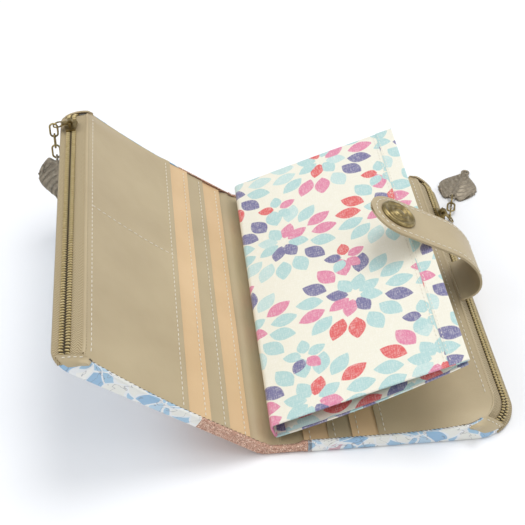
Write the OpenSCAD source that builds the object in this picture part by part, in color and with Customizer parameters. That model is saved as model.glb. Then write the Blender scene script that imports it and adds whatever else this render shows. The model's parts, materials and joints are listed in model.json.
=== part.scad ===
// Coupon organizer wallet lying open: two zipped covers, a narrow spine, a sewn-in
// booklet and a snap strap. The origin is the centre of the right cover's underside.
// X runs across the folds, Y along them, Z up.

/* [Covers] */
// Length of the covers along the folds
cover_len = 190; // [160:1:220]
// Width of the right cover, fold to zip side
right_w = 95.5; // [90:0.5:110]
// Width of the left cover, fold to zip side
left_w = 100.5; // [96:0.5:115]
// Thickness of a cover at its sewn edges
cover_t = 5; // [4.6:0.1:6.5]
// Thickness of the outer cloth
shell_t = 1; // [0.8:0.1:1.2]
// Thickness of the stiffening board in a cover
board_t = 0.8; // [0.4:0.1:1]
// Thickness of the turned cloth edge
hem_t = 0.6; // [0.4:0.1:0.8]
// Width that the turned edge laps under a cover
hem_w = 3.5; // [2.5:0.5:5]
// Height of the inner panel's crown at the zip
rim_rise = 5.5; // [4:0.1:7]
// Share of that crown left at the two ends
end_share = 0.75; // [0.5:0.05:1]
// Corner radius at the near end of the right cover's zip
near_corner_r = 20; // [14:1:24]
// Radius of the three other zip-side corners
corner_r = 8; // [7:0.5:12]

/* [Spine] */
// Width between the two fold lines
spine_w = 16.5; // [15.5:0.5:20]
// Angle of the left cover above the table
left_angle = 35.6; // [20:0.1:50]
// Gap between pieces that fold against each other
fold_gap = 0.3; // [0.2:0.1:0.6]

/* [Card slots] */
// First slot edge of the left cover from its fold
left_first = 5.9; // [4:0.1:8]
// First slot edge of the right cover from its fold
right_first = 0.9; // [0.5:0.1:3]
// Visible width of the first strip
step_1 = 10.8; // [8:0.1:12]
// Visible width of the second strip
step_2 = 10.1; // [8:0.1:12]
// Visible width of the third strip
step_3 = 11.4; // [8:0.1:13]
// Depth of a card slot
slot_depth = 54; // [40:1:56]
// Thickness of one leather strip
strip_t = 0.45; // [0.3:0.05:0.5]

/* [Zips] */
// Width of the sloping zip face, seen from above
face_w = 9; // [7.5:0.5:11]
// Height of the zip's lower edge under the inner plane
face_low = 2.8; // [2.4:0.1:3.4]
// Length of the leather tab over each end of the zip
tab_len = 7; // [4:0.5:8]
// Thickness of the zip tape
tape_t = 0.5; // [0.3:0.1:0.7]
// Width of the two rows of teeth together
teeth_w = 4.8; // [4:0.1:5.2]
// Thickness of the teeth
teeth_t = 1.4; // [1:0.1:1.6]
// Slot between the two rows that the slider's web runs in
teeth_slot = 0.8; // [0.6:0.1:1]
// Length of a slider
slider_len = 9; // [7:0.5:12]
// Width of a slider
slider_w = 7; // [6:0.5:8]
// Place of the left slider along its zip
left_slider_y = 78; // [60:1:78]
// Place of the right slider along its zip
right_slider_y = 62; // [30:1:66]

/* [Pulls and charms] */
// Wire of the chain links
wire_d = 1; // [0.8:0.1:1.2]
// Length of a chain link
link_len = 8.4; // [7:0.1:10]
// Width of a chain link
link_w = 4.8; // [4.4:0.1:5.5]
// Play between two linked wires
link_play = 0.15; // [0.1:0.05:0.3]
// Length of the pull tab from its pivot to its ring
pull_len = 6; // [5:0.5:9]
// Radius of the pull tab's ring, to the wire centre
pull_ring_r = 2.4; // [2:0.1:3]
// Length of a leaf charm
charm_len = 32; // [26:1:36]
// Width of a leaf charm
charm_w = 21; // [16:1:24]
// Thickness of a leaf charm
charm_t = 1.8; // [1.2:0.1:2]

/* [Booklet] */
// Length of the booklet along its fold
book_len = 180; // [140:1:184]
// Width of the booklet's front leaf
book_w = 89; // [84:0.5:92]
// Height of the booklet's folded back
book_back_h = 8; // [7:0.1:9]
// Slope of the front leaf
front_slope = 20.2; // [19:0.1:20.5]
// Height of the booklet at its open edge
book_edge_h = 3.2; // [3.2:0.1:5]
// Sag of the back leaf
back_sag = 2; // [0:0.1:3]
// Thickness of a leaf
leaf_t = 0.9; // [0.6:0.1:1]
// Thickness of a pocket sheet inside the booklet
pocket_t = 0.35; // [0.2:0.05:0.4]

/* [Strap] */
// Width of the strap
strap_w = 28; // [22:1:32]
// Thickness of each of its two layers
strap_layer_t = 0.8; // [0.5:0.1:0.9]
// Length of the straight part up to the snap
strap_straight = 27.5; // [22:0.5:34]
// Slope of that straight part
strap_slope = 28; // [24:1:30]
// Height of the loop over the zip
strap_loop_h = 28.2; // [28:0.2:32]
// Diameter of the snap's cap
cap_d = 18; // [14:0.5:20]
// Diameter of the snap's post
post_d = 3.4; // [2.6:0.1:4]
// Play of the post in its holes
post_play = 0.1; // [0.05:0.05:0.2]
// Place of the snap's stud on the left cover, from its fold
stud_at = 63; // [50:1:70]

/* [Hidden] */
SIDES = ["left", "right"];

taupe = "#b9a888";
peach = "#e3c08f";
print_blue = "#c9dcea";
print_cream = "#efeadb";
glitter = "#c99b8c";
brass = "#8a7a4a";
pewter = "#8d8478";

// Each cover is drawn flat: s from its fold, y along the fold, h above its inner plane.
LEFT = [left_w, left_first, corner_r];
RIGHT = [right_w, right_first, near_corner_r];
half_len = cover_len / 2 - hem_t;
crown_from = 40;
fade_len = 9;
zip_end_angle = 60;
glitter_left = 33.7;
glitter_right = 5;
stack_t = 4 * strip_t;
lining_t = 0.5;
right_fold_x = -right_w / 2;
left_fold_x = right_fold_x - spine_w;
lining_back = 5;
lining_top = 3;

function clamp01(v) = max(0, min(1, v));
function smooth(v) = let (u = clamp01(v)) u * u * (3 - 2 * u);
function out_s(c) = c[0] - hem_t;
function rim_s(c) = out_s(c) - face_w;
function end_fade(y) = 1 - (1 - end_share) * smooth((abs(y) - half_len + fade_len) / fade_len);
function crown(c, s, y) = rim_rise * pow(clamp01((s - crown_from) / (rim_s(c) - crown_from)), 1.6) * end_fade(y);
function out_r(c, y) = y < 0 ? c[2] : corner_r;
function rim_r(c, y) = out_r(c, y) - 4;
function half_at(s, s_max, r) = half_len - r + sqrt(max(0, r * r - pow(max(0, s - s_max + r), 2)));

// A slab between two grids of points, upper and lower, given as rows
module slab(upper, lower) {
    n = len(upper);
    m = len(upper[0]);
    function up(i, j) = i * m + j;
    function lo(i, j) = n * m + i * m + j;
    function quad(a, b, c, d) = [[a, b, c], [a, c, d]];
    tops = [for (i = [0:n - 2]) for (j = [0:m - 2]) each quad(up(i, j), up(i, j + 1), up(i + 1, j + 1), up(i + 1, j))];
    bases = [for (i = [0:n - 2]) for (j = [0:m - 2]) each quad(lo(i, j), lo(i + 1, j), lo(i + 1, j + 1), lo(i, j + 1))];
    sides = concat(
        [for (i = [0:n - 2]) each quad(up(i, 0), up(i + 1, 0), lo(i + 1, 0), lo(i, 0))],
        [for (i = [0:n - 2]) each quad(up(i + 1, m - 1), up(i, m - 1), lo(i, m - 1), lo(i + 1, m - 1))],
        [for (j = [0:m - 2]) each quad(up(0, j + 1), up(0, j), lo(0, j), lo(0, j + 1))],
        [for (j = [0:m - 2]) each quad(up(n - 1, j), up(n - 1, j + 1), lo(n - 1, j + 1), lo(n - 1, j))]);
    polyhedron(concat([for (row = upper) each row], [for (row = lower) each row]), concat(tops, bases, sides));
}

// A closed section of paired points carried along a row of stations
module sweep(rings) {
    n = len(rings);
    m = len(rings[0]);
    walls = [for (i = [0:n - 2]) for (j = [0:m - 1]) let (k = (j + 1) % m)
        each [[i * m + j, i * m + k, (i + 1) * m + k], [i * m + j, (i + 1) * m + k, (i + 1) * m + j]]];
    function cap(base) = [for (k = [0:m / 2 - 2]) let (a = base + k, b = a + 1, d = base + m - 1 - k, c = d - 1)
        each [[a, b, c], [a, c, d]]];
    first = [for (face = cap(0)) [face[2], face[1], face[0]]];
    polyhedron([for (ring = rings) each ring], concat(walls, first, cap((n - 1) * m)));
}

// Places of the outer edge and of the rim round a zip-side corner
function corner(c, end, a) = let (r = out_r(c, end), q = rim_r(c, end))
    [[out_s(c) - r + r * cos(a), end * (half_len - r + r * sin(a))],
     [rim_s(c) - q + q * cos(a), end * (half_len - q + q * sin(a))],
     [cos(a), end * sin(a)]];
function zip_path(c, end_angle = zip_end_angle) = concat(
    [for (i = [4:-1:0]) corner(c, -1, end_angle * i / 4)],
    [for (v = [-0.6:0.3:0.6]) [[out_s(c), v * half_len], [rim_s(c), v * half_len], [1, 0]]],
    [for (i = [0:4]) corner(c, 1, end_angle * i / 4)]);
function edge_path(c, end) = let (last = corner(c, end, 90)) concat(
    [for (t = [0:0.2:0.8]) [[fold_gap + t * (last[0][0] - fold_gap), last[0][1]],
        [fold_gap + t * (last[1][0] - fold_gap), last[1][1]], [0, end]]],
    [for (a = [90:-15:zip_end_angle]) corner(c, end, a)]);
function lift(p, h) = [p[0], p[1], h];
function rim_h(c, p) = crown(c, p[0], p[1]);
// A point on the zip face, f from the rim to the outer edge, d above it
function on_face(c, st, f, d) = let (top = rim_h(c, st[1]), q = st[1] + f * (st[0] - st[1]))
    lift(q, top + f * (-face_low - top) + d);

// The same with d measured square to the face
function off_face(c, st, f, d) = on_face(c, st, f + d * sin(face_slope) / face_w, d / cos(face_slope));

// Stations across a cover that all its inner layers share, so that they lie on each other
function knots(c) = let (r = rim_r(c, -1), flat_end = rim_s(c) - r)
    concat([for (i = [0:12]) flat_end * i / 12], [for (a = [18:18:90]) flat_end + r * sin(a)]);
function nearest_knot(c, s) = let (best = min([for (k = knots(c)) abs(k - s)]))
    [for (k = knots(c)) if (abs(k - s) == best) k][0];

// Thin layer of the inner side that follows the crown
module inner_layer(c, s0, s1, low, high) {
    all = knots(c);
    near_end = 1 - fade_len / half_len;
    vv = concat([for (i = [0:3]) -1 + i * (1 - near_end) / 3], [0], [for (i = [3:-1:0]) 1 - i * (1 - near_end) / 3]);
    function on_knot(k, v) = let (y = v * half_at(all[k], rim_s(c), rim_r(c, v))) [all[k], y, crown(c, all[k], y)];
    function at(s, v) = let (k = max([for (i = [0:len(all) - 2]) if (all[i] <= s) i]),
        t = (s - all[k]) / (all[k + 1] - all[k])) on_knot(k, v) * (1 - t) + on_knot(k + 1, v) * t;
    ss = concat([s0], [for (s = all) if (s > s0 + 0.5 && s < s1 - 0.5) s], [s1]);
    slab([for (s = ss) [for (v = vv) at(s, v) + [0, 0, high]]], [for (s = ss) [for (v = vv) at(s, v) + [0, 0, low]]]);
}

// Flat outline of a cover, drawn in from its edge
module outline(c, s0, inset) {
    s_max = out_s(c) - inset;
    function arc(end, a) = let (r = out_r(c, end) - inset)
        [s_max - r + r * cos(a), end * (half_len - inset - r + r * sin(a))];
    polygon(concat([[s0, -half_len + inset]], [for (a = [90:-15:0]) arc(-1, a)],
        [for (a = [0:15:90]) arc(1, a)], [[s0, half_len - inset]]));
}

module on_side(side) {
    if (side == "left")
        translate([left_fold_x, 0, cover_t]) rotate([0, left_angle, 0]) mirror([1, 0, 0]) children();
    else
        translate([right_fold_x, 0, cover_t]) children();
}
function spec(side) = side == "left" ? LEFT : RIGHT;
function glitter_to(side) = side == "left" ? glitter_left : glitter_right;

// Bore for the stud's post, only in the left cover
module stud_bore(side) {
    if (side == "left")
        translate([stud_at, 0, -cover_t - 1]) cylinder(h = cover_t, d = post_d + 2 * post_play, $fn = 32);
}

module outer_cloth(side) {
    color(print_blue) on_side(side) difference() {
        translate([0, 0, -cover_t]) linear_extrude(shell_t) outline(spec(side), glitter_to(side), hem_w);
        stud_bore(side);
    }
}

module glitter_cloth(side) {
    long = 2 * (half_len - hem_w);
    color(glitter) on_side(side) translate([fold_gap, -long / 2, -cover_t])
        cube([glitter_to(side) - fold_gap, long, shell_t]);
}

module board(side) {
    color("#d8d4cc") on_side(side) difference() {
        translate([0, 0, shell_t - cover_t]) linear_extrude(board_t) outline(spec(side), 2 * fold_gap + 3, hem_w);
        stud_bore(side);
    }
}

module pocket_lining(side) {
    color("#a3947a") on_side(side)
        inner_layer(spec(side), spec(side)[1], rim_s(spec(side)), -stack_t - lining_t, -stack_t);
}

function slot_edge(side, k) = spec(side)[1] + [0, step_1, step_1 + step_2, step_1 + step_2 + step_3][k - 1];

module slot_strip(side, k) {
    c = spec(side);
    edge = slot_edge(side, k);
    color(k == 2 ? taupe : peach) on_side(side)
        inner_layer(c, edge, nearest_knot(c, edge + slot_depth), -stack_t + (k - 1) * strip_t, -stack_t + k * strip_t);
}

module slot_panel(side) {
    c = spec(side);
    color(taupe) on_side(side) inner_layer(c, slot_edge(side, 4), rim_s(c), -strip_t, 0);
}

// Turned edge of the outer cloth: a C round the two short edges, a low L along the zip
module edge_binding(side) {
    c = spec(side);
    lap = 1.5;
    ease = 0.2;
    foot = shell_t - cover_t;
    function inward(p, n, d) = [p[0] - d * n[0], p[1] - d * n[1]];
    function c_ring(st) = let (o = st[0], i = st[1], n = st[2], top = rim_h(c, i), over = 0.7)
        [lift(inward(o, n, hem_w), -cover_t), lift(inward(o, n, -hem_t), -cover_t),
         lift(inward(i, n, -hem_t), top + over), lift(inward(i, n, lap), top + over),
         lift(inward(i, n, lap), top + ease), lift(inward(i, n, -ease), top + ease),
         lift(o, foot), lift(inward(o, n, hem_w), foot)];
    function l_ring(st) = let (o = st[0], n = st[2])
        [lift(inward(o, n, hem_w), -cover_t), lift(inward(o, n, -hem_t), -cover_t),
         lift(inward(o, n, -hem_t), -face_low + 0.3), lift(o, -face_low + 0.3),
         lift(o, foot), lift(inward(o, n, hem_w), foot)];
    color(print_blue) on_side(side) {
        sweep([for (st = edge_path(c, -1)) c_ring(st)]);
        mirrored = edge_path(c, 1);
        sweep([for (i = [len(mirrored) - 1:-1:0]) c_ring(mirrored[i])]);
        sweep([for (st = zip_path(c, zip_end_angle - 2)) l_ring(st)]);
    }
}

// A strip of tape and a row of teeth, each between two shares of the zip face's width
module tape_strip(c, f0, f1) {
    path = zip_path(c);
    slab([for (f = [f0, f1]) [for (st = path) on_face(c, st, f, 0)]],
        [for (f = [f0, f1]) [for (st = path) on_face(c, st, f, -tape_t)]]);
}
module teeth_row(c, f0, f1) {
    path = zip_path(c);
    slab([for (f = [f0, f1]) [for (st = path) off_face(c, st, f, teeth_t / 2)]],
        [for (f = [f0, f1]) [for (st = path) off_face(c, st, f, -teeth_t / 2)]]);
}

face_slope = atan2(rim_rise + face_low, face_w);
face_len = norm([rim_rise + face_low, face_w]);
teeth_mid = 0.69;
teeth_half = teeth_w / 2 / face_len;
slot_half = teeth_slot / 2 / face_len;
tape_ease = 0.03;

module zip_tape_inner(side) {
    color("#b5a27c") on_side(side) tape_strip(spec(side), tape_ease, teeth_mid - teeth_half - tape_ease);
}

module zip_tape_outer(side) {
    color("#b5a27c") on_side(side) tape_strip(spec(side), teeth_mid + teeth_half, 1);
}

module zip_teeth(side) {
    color(brass) on_side(side) {
        teeth_row(spec(side), teeth_mid - teeth_half, teeth_mid - slot_half);
        teeth_row(spec(side), teeth_mid + slot_half, teeth_mid + teeth_half);
    }
}

// Folded leather tabs that close the two ends of the zip
module zip_end_tabs(side) {
    c = spec(side);
    clear = teeth_t / 2 + 0.1;
    tab_t = 0.9;
    function tab(end) = let (span = tab_len / out_r(c, end) * 180 / PI)
        [for (i = [0:3]) corner(c, end, zip_end_angle - span * i / 3)];
    color(taupe) on_side(side) for (end = [-1, 1]) {
        ends = end < 0 ? tab(end) : [for (i = [3:-1:0]) tab(end)[i]];
        slab([for (f = [0, 0.5, 1]) [for (st = ends) off_face(c, st, f, clear + tab_t)]],
            [for (f = [0, 0.5, 1]) [for (st = ends) off_face(c, st, f, clear)]]);
    }
}

// Frame on the zip face over the teeth: x down the face, y along it, z out of it
module on_zip(side, y) {
    c = spec(side);
    mid = on_face(c, [[out_s(c), 0], [rim_s(c), 0]], teeth_mid, 0);
    on_side(side) translate([mid[0], y, mid[2]]) rotate([0, face_slope, 0]) children();
}
slider_gap = 0.25;
plate_t = 0.9;
bar_h = teeth_t / 2 + slider_gap + plate_t + 1.9;
bar_d = 1;
function slider_y(side) = side == "left" ? left_slider_y : right_slider_y;

// Slider: two plates, the web between the rows and the bar that holds the pull tab
module zip_slider(side) {
    under = -teeth_t / 2 - slider_gap - plate_t;
    over = teeth_t / 2 + slider_gap;
    leg = 1.2;
    color(brass) on_zip(side, slider_y(side)) {
        for (z = [under, over])
            translate([0, 0, z]) linear_extrude(plate_t)
                polygon([[-slider_w / 2 + 1.2, -slider_len / 2], [slider_w / 2 - 1.2, -slider_len / 2],
                         [slider_w / 2, slider_len / 2 - 2], [slider_w / 2 - 1, slider_len / 2],
                         [-slider_w / 2 + 1, slider_len / 2], [-slider_w / 2, slider_len / 2 - 2]]);
        translate([-teeth_slot / 2 + 0.2, -slider_len / 2 + 1, under])
            cube([teeth_slot - 0.4, slider_len - 2, over - under + plate_t]);
        for (e = [-1, 1])
            translate([-leg / 2, e * 2.6 - leg / 2, over]) cube([leg, leg, bar_h - over + bar_d / 2]);
        translate([0, -2.6, bar_h]) rotate([-90, 0, 0]) cylinder(h = 5.2, d = bar_d, $fn = 24);
    }
}

// Places of a side's pull and chain, in the whole wallet's frame, as [x, z]
function turned(p, a) = [p[0] * cos(a) + p[1] * sin(a), -p[0] * sin(a) + p[1] * cos(a)];
function face_mid(side) = let (c = spec(side))
    [rim_s(c) + teeth_mid * face_w, rim_rise - teeth_mid * (rim_rise + face_low)]
    + bar_h * [sin(face_slope), cos(face_slope)];
function bar_at(side) = let (p = face_mid(side)) side == "left"
    ? [left_fold_x, cover_t] + turned([-p[0], p[1]], left_angle)
    : [right_fold_x, cover_t] + p;
link_mid_h = link_w / 2 + 0.1;
left_pull_dip = 12;
chain_az = 74;
charm_az = 62;
right_reach = pull_len + pull_ring_r * cos(chain_az);
right_pull_dip = asin((bar_at("right")[1] - link_mid_h) / right_reach);
ring_wire = 0.8;
// Pivot of the first link on the pull tab's ring
function chain_start(side) = let (b = bar_at(side)) side == "left"
    ? [b[0] - (pull_len + pull_ring_r) * cos(left_pull_dip), left_slider_y, b[1] - (pull_len + pull_ring_r) * sin(left_pull_dip)]
    : [b[0] + right_reach * cos(right_pull_dip), right_slider_y + pull_ring_r * sin(chain_az), link_mid_h];
link_pitch = link_len - 2 * wire_d - link_play;
function chain_dir(side) = side == "left" ? [0, 0, -1] : [cos(chain_az), sin(chain_az), 0];
function link_pivot(side, k) = chain_start(side) + (k - 1) * link_pitch * chain_dir(side);

// Ring bent from wire, flat in the XY plane
module wire_ring(r, d) {
    rotate_extrude($fn = 36) translate([r, 0]) circle(d = d, $fn = 12);
}

// Oval link whose loop hangs on a wire at the origin and runs along +X
module chain_link(side, k) {
    run = link_len - link_w;
    r = (link_w - wire_d) / 2;
    back = wire_d + link_play;
    color(brass) along_chain(side, k) rotate([k % 2 == 1 ? 90 : 0, 0, 0]) translate([r - back, 0, 0]) {
        rotate([0, 0, 90]) rotate_extrude(angle = 180, $fn = 32) translate([r, 0]) circle(d = wire_d, $fn = 12);
        translate([run, 0, 0]) rotate([0, 0, -90]) rotate_extrude(angle = 180, $fn = 32)
            translate([r, 0]) circle(d = wire_d, $fn = 12);
        for (e = [-1, 1])
            translate([0, e * r, 0]) rotate([0, 90, 0]) cylinder(h = run, d = wire_d, $fn = 12);
    }
}

module along_chain(side, k) {
    turn = side == "left" ? [0, 90, 0] : [0, 0, k == 4 ? charm_az : chain_az];
    translate(link_pivot(side, k)) rotate(turn) children();
}

// Pull tab: an eye on the slider's bar, a flat neck and the ring that holds the chain
module pull_tab(side) {
    b = bar_at(side);
    dir = side == "left" ? 180 - left_pull_dip : right_pull_dip;
    eye_r = bar_d / 2 + link_play + 0.45;
    color(brass) translate([b[0], slider_y(side), b[1]]) rotate([0, dir, 0]) {
        rotate([-90, 0, 0]) translate([0, 0, -1.2]) difference() {
            cylinder(h = 2.4, r = eye_r + 0.45, $fn = 32);
            translate([0, 0, -1]) cylinder(h = 5, r = bar_d / 2 + link_play, $fn = 32);
        }
        translate([eye_r, -1.2, -0.5]) cube([pull_len - pull_ring_r - eye_r + 0.4, 2.4, 1]);
        translate([pull_len, 0, 0]) wire_ring(pull_ring_r, ring_wire);
    }
}

// Heart-shaped leaf outline, notch towards the chain and tip away from it
module leaf_outline() {
    kx = charm_len / 29;
    ky = charm_w / 32;
    low_lobes = 0.3;
    polygon([for (a = [0:9:351]) let (x = 5 - (13 * cos(a) - 5 * cos(2 * a) - 2 * cos(3 * a) - cos(4 * a)))
        [kx * x * (x < 0 ? low_lobes : 1), ky * 16 * pow(sin(a), 3)]]);
}

module leaf_charm(side) {
    eye_r = 1.7;
    eye_x = eye_r - wire_d - link_play;
    tip_x = charm_len * 0.64;
    low = side == "left" ? -charm_t / 2 : 0.05 - link_mid_h;
    neck = 1.5;
    color(pewter) along_chain(side, 4) {
        translate([eye_x, 0, 0]) wire_ring(eye_r, wire_d);
        rotate([side == "left" ? 90 : 0, 0, 0]) translate([eye_x + eye_r + neck, 0, low]) difference() {
            linear_extrude(charm_t) union() {
                leaf_outline();
                translate([tip_x, 0]) circle(r = 2.7, $fn = 32);
            }
            translate([tip_x, 0, -1]) cylinder(h = charm_t + 2, d = 2.4, $fn = 24);
        }
        translate([eye_x + eye_r - 0.3, -0.8, low]) cube([neck + 1.3, 1.6, wire_d / 2 - low]);
    }
}

module spine_cloth() {
    long = 2 * (half_len - hem_w);
    color(glitter) translate([left_fold_x + 0.8, -long / 2, 0]) cube([spine_w - 0.8 - fold_gap, long, shell_t]);
}

module spine_lining() {
    color(taupe) translate([left_fold_x + 0.8, -half_len, lining_top - 1])
        cube([spine_w - 0.8 - lining_back, 2 * half_len, 1]);
}

module spine_binding() {
    wide = spine_w - 0.8 - lining_back;
    color(glitter) for (e = [-1, 1])
        translate([left_fold_x + 0.8, e * half_len, 0]) mirror([0, e < 0 ? 1 : 0, 0]) {
            translate([0, -hem_w, 0]) cube([wide, hem_w + hem_t, shell_t]);
            cube([wide, hem_t, lining_top]);
        }
}

// Booklet sections in the XZ plane
book_fold = [left_fold_x + 5.1, 4.8];
strip_lean = 110;
book_top = book_fold + book_back_h * [cos(strip_lean), sin(strip_lean)];
front_dir = [cos(front_slope), sin(front_slope)];
front_end = book_top + book_w * front_dir;
back_end = front_end - [0, book_edge_h];
back_slope = atan2(back_end[1] - book_fold[1], back_end[0] - book_fold[0]);
function back_at(u, d) = book_fold + u * (back_end - book_fold)
    + (d - back_sag * 4 * u * (1 - u)) * [-sin(back_slope), cos(back_slope)];
function front_at(u, d) = book_top + u * book_w * front_dir - d * [-front_dir[1], front_dir[0]];

module book_prism(points) {
    rotate([90, 0, 0]) translate([0, 0, -book_len / 2]) linear_extrude(book_len) polygon(points);
}

// Back leaf: it starts just off its pivot, the lower fold
module booklet_back_leaf() {
    us = [0.005, for (k = [1:10]) k / 10];
    color(print_cream) book_prism(concat([for (u = us) back_at(u, 0)],
        [for (i = [len(us) - 1:-1:0]) back_at(us[i], leaf_t)]));
}

// Folded back of the booklet, under the front leaf; it stops short of the back leaf's pivot
module booklet_fold_strip() {
    base = book_fold + 1.5 * leaf_t * [cos(strip_lean), sin(strip_lean)];
    color(print_cream) book_prism([base, front_at(0, leaf_t), front_at(leaf_t / book_w, leaf_t),
        base + leaf_t * [sin(strip_lean), -cos(strip_lean)]]);
}

module booklet_front_leaf() {
    color(print_cream) book_prism([front_at(0, 0), front_at(0, leaf_t), front_at(1, leaf_t), front_at(1, 0)]);
}

module booklet_back_pocket() {
    color("#dfe7e2") book_prism(concat([for (k = [1:9]) back_at(k / 10, leaf_t)],
        [for (k = [9:-1:1]) back_at(k / 10, leaf_t + pocket_t)]));
}

module booklet_front_pocket() {
    color("#dfe7e2") book_prism([front_at(0.15, leaf_t), front_at(0.15, leaf_t + pocket_t),
        front_at(0.95, leaf_t + pocket_t), front_at(0.95, leaf_t)]);
}

// Strap: a bent loop out of the zip rim, then a straight tongue with a round end
strap_root = [right_fold_x + rim_s(RIGHT) + 0.8, cover_t + rim_rise + 0.4];
tongue_dir = [-cos(strap_slope), sin(strap_slope)];
tongue_from = strap_root + [-7.2, strap_loop_h];
bend_1 = strap_root + [15, 2.4];
bend_2 = tongue_from - 18 * tongue_dir;
function bend(u) = pow(1 - u, 3) * strap_root + 3 * u * pow(1 - u, 2) * bend_1
    + 3 * u * u * (1 - u) * bend_2 + pow(u, 3) * tongue_from;
function bend_dir(u) = let (v = bend(min(1, u + 0.01)) - bend(max(0, u - 0.01))) v / norm(v);
function bend_off(u, d) = let (t = bend_dir(u)) bend(u) + d * [t[1], -t[0]];
snap_at = tongue_from + strap_straight * tongue_dir;

module strap_layer(low, high, hole) {
    us = [0.06, 0.15, 0.25, 0.35, 0.45, 0.55, 0.65, 0.75, 0.85, 0.95, 1];
    rotate([90, 0, 0]) translate([0, 0, -strap_w / 2]) linear_extrude(strap_w)
        polygon(concat([for (u = us) bend_off(u, low)], [for (i = [len(us) - 1:-1:0]) bend_off(us[i], high)]));
    on_tongue() difference() {
        translate([0, 0, low]) union() {
            translate([-strap_straight, -strap_w / 2, 0]) cube([strap_straight, strap_w, high - low]);
            cylinder(h = high - low, d = strap_w, $fn = 64);
        }
        translate([0, 0, -5]) cylinder(h = 10, d = hole, $fn = 32);
    }
}

// Frame at the snap: x to the tip, z out of the strap's face
module on_tongue() {
    translate([snap_at[0], 0, snap_at[1]]) rotate([0, 180 + strap_slope, 0]) rotate([180, 0, 0]) children();
}

module strap_face() {
    color(taupe) strap_layer(0, strap_layer_t, post_d + 2 * post_play);
}

module strap_backing() {
    color(taupe) strap_layer(-strap_layer_t, 0, post_d + 2 * post_play);
}

// Snap cap: ring relief on a low dome, with the post that goes through the strap
module snap_cap() {
    r = cap_d / 2;
    color(brass) on_tongue() {
        translate([0, 0, strap_layer_t]) rotate_extrude($fn = 64)
            polygon([[0, 0], [r - 0.5, 0], [r, 0.5], [r - 0.3, 1.4], [r - 1.3, 1.7], [r - 2.2, 1.1],
                     [r * 0.55, 1.2], [r * 0.5, 1.9], [r * 0.3, 2.3], [0, 2.4]]);
        translate([0, 0, -strap_layer_t - 1.2]) cylinder(h = 2 * strap_layer_t + 1.5, d = post_d, $fn = 32);
    }
}

// Snap socket under the strap, riveted on the cap's post, open below
module snap_socket() {
    color(brass) on_tongue() translate([0, 0, -strap_layer_t]) difference() {
        rotate_extrude($fn = 64) polygon([[0, 0], [6, 0], [6, -0.8], [4.6, -1.2], [4.4, -3.2], [0, -3.2]]);
        translate([0, 0, -4]) cylinder(h = 2.6, d = 6, $fn = 32);
        translate([0, 0, -2]) cylinder(h = 3, d = post_d + 2 * post_play, $fn = 32);
    }
}

// Stud on the outside of the left cover that the socket closes on
module snap_stud() {
    color(brass) on_side("left") translate([stud_at, 0, -cover_t]) {
        rotate_extrude($fn = 48) polygon([[0, 0], [5.5, 0], [5.3, -0.7], [2.6, -0.8], [2.2, -1.6], [2.7, -2.3], [2.2, -2.6], [0, -2.6]]);
        translate([0, 0, -0.1]) cylinder(h = shell_t + board_t + 0.1, d = post_d, $fn = 32);
    }
}

module snap_stud_back() {
    color(brass) on_side("left") translate([stud_at, 0, shell_t + board_t - cover_t]) cylinder(h = 0.7, d = 9, $fn = 48);
}

for (side = SIDES) {
    outer_cloth(side);
    glitter_cloth(side);
    board(side);
    pocket_lining(side);
    slot_strip(side, 1);
    slot_strip(side, 2);
    slot_strip(side, 3);
    slot_panel(side);
    edge_binding(side);
    zip_tape_inner(side);
    zip_tape_outer(side);
    zip_teeth(side);
    zip_end_tabs(side);
    zip_slider(side);
    pull_tab(side);
    chain_link(side, 1);
    chain_link(side, 2);
    chain_link(side, 3);
    leaf_charm(side);
}
spine_cloth();
spine_lining();
spine_binding();
booklet_back_leaf();
booklet_fold_strip();
booklet_back_pocket();
booklet_front_leaf();
booklet_front_pocket();
strap_face();
strap_backing();
snap_cap();
snap_socket();
snap_stud();
snap_stud_back();
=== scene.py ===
"""An open coupon organizer wallet: printed cloth, leather card slots, zips, a booklet and a snap strap."""

import bisect
import json
from math import atan2, copysign, cos, dist, exp, hypot, pi, radians, sin, sqrt

import bmesh
import bpy
from mathutils import Matrix, Vector


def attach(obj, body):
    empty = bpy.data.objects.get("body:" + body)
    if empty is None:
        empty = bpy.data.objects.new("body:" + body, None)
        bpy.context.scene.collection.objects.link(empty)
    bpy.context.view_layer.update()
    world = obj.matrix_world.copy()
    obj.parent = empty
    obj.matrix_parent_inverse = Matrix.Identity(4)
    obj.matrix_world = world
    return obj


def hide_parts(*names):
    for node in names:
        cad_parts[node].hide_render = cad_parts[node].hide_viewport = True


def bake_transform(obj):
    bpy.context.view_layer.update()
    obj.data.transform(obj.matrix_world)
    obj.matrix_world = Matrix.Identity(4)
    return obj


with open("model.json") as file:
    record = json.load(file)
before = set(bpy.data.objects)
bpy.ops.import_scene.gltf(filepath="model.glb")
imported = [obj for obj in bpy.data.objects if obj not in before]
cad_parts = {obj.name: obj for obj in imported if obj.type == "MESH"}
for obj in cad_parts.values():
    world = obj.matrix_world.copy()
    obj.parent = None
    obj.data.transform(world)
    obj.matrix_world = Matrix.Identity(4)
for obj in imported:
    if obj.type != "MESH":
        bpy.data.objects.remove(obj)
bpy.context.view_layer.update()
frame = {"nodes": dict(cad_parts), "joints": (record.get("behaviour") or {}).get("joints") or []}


# Camera, lamps and table. The camera stands where the photograph was taken from;
# the lamps are large and soft, and the table is plain and pale.
camera_data = bpy.data.cameras.new("camera")
camera_data.lens = 86.83
camera_data.sensor_width = 36
camera_data.clip_start = 0.01
camera = bpy.data.objects.new("camera", camera_data)
camera.location = (-0.103328, -0.467861, 0.397475)
camera.rotation_euler = (radians(51.996), 0, radians(-5.845))
bpy.context.scene.collection.objects.link(camera)
bpy.context.scene.camera = camera
bpy.context.scene.view_settings.view_transform = "Standard"


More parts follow.
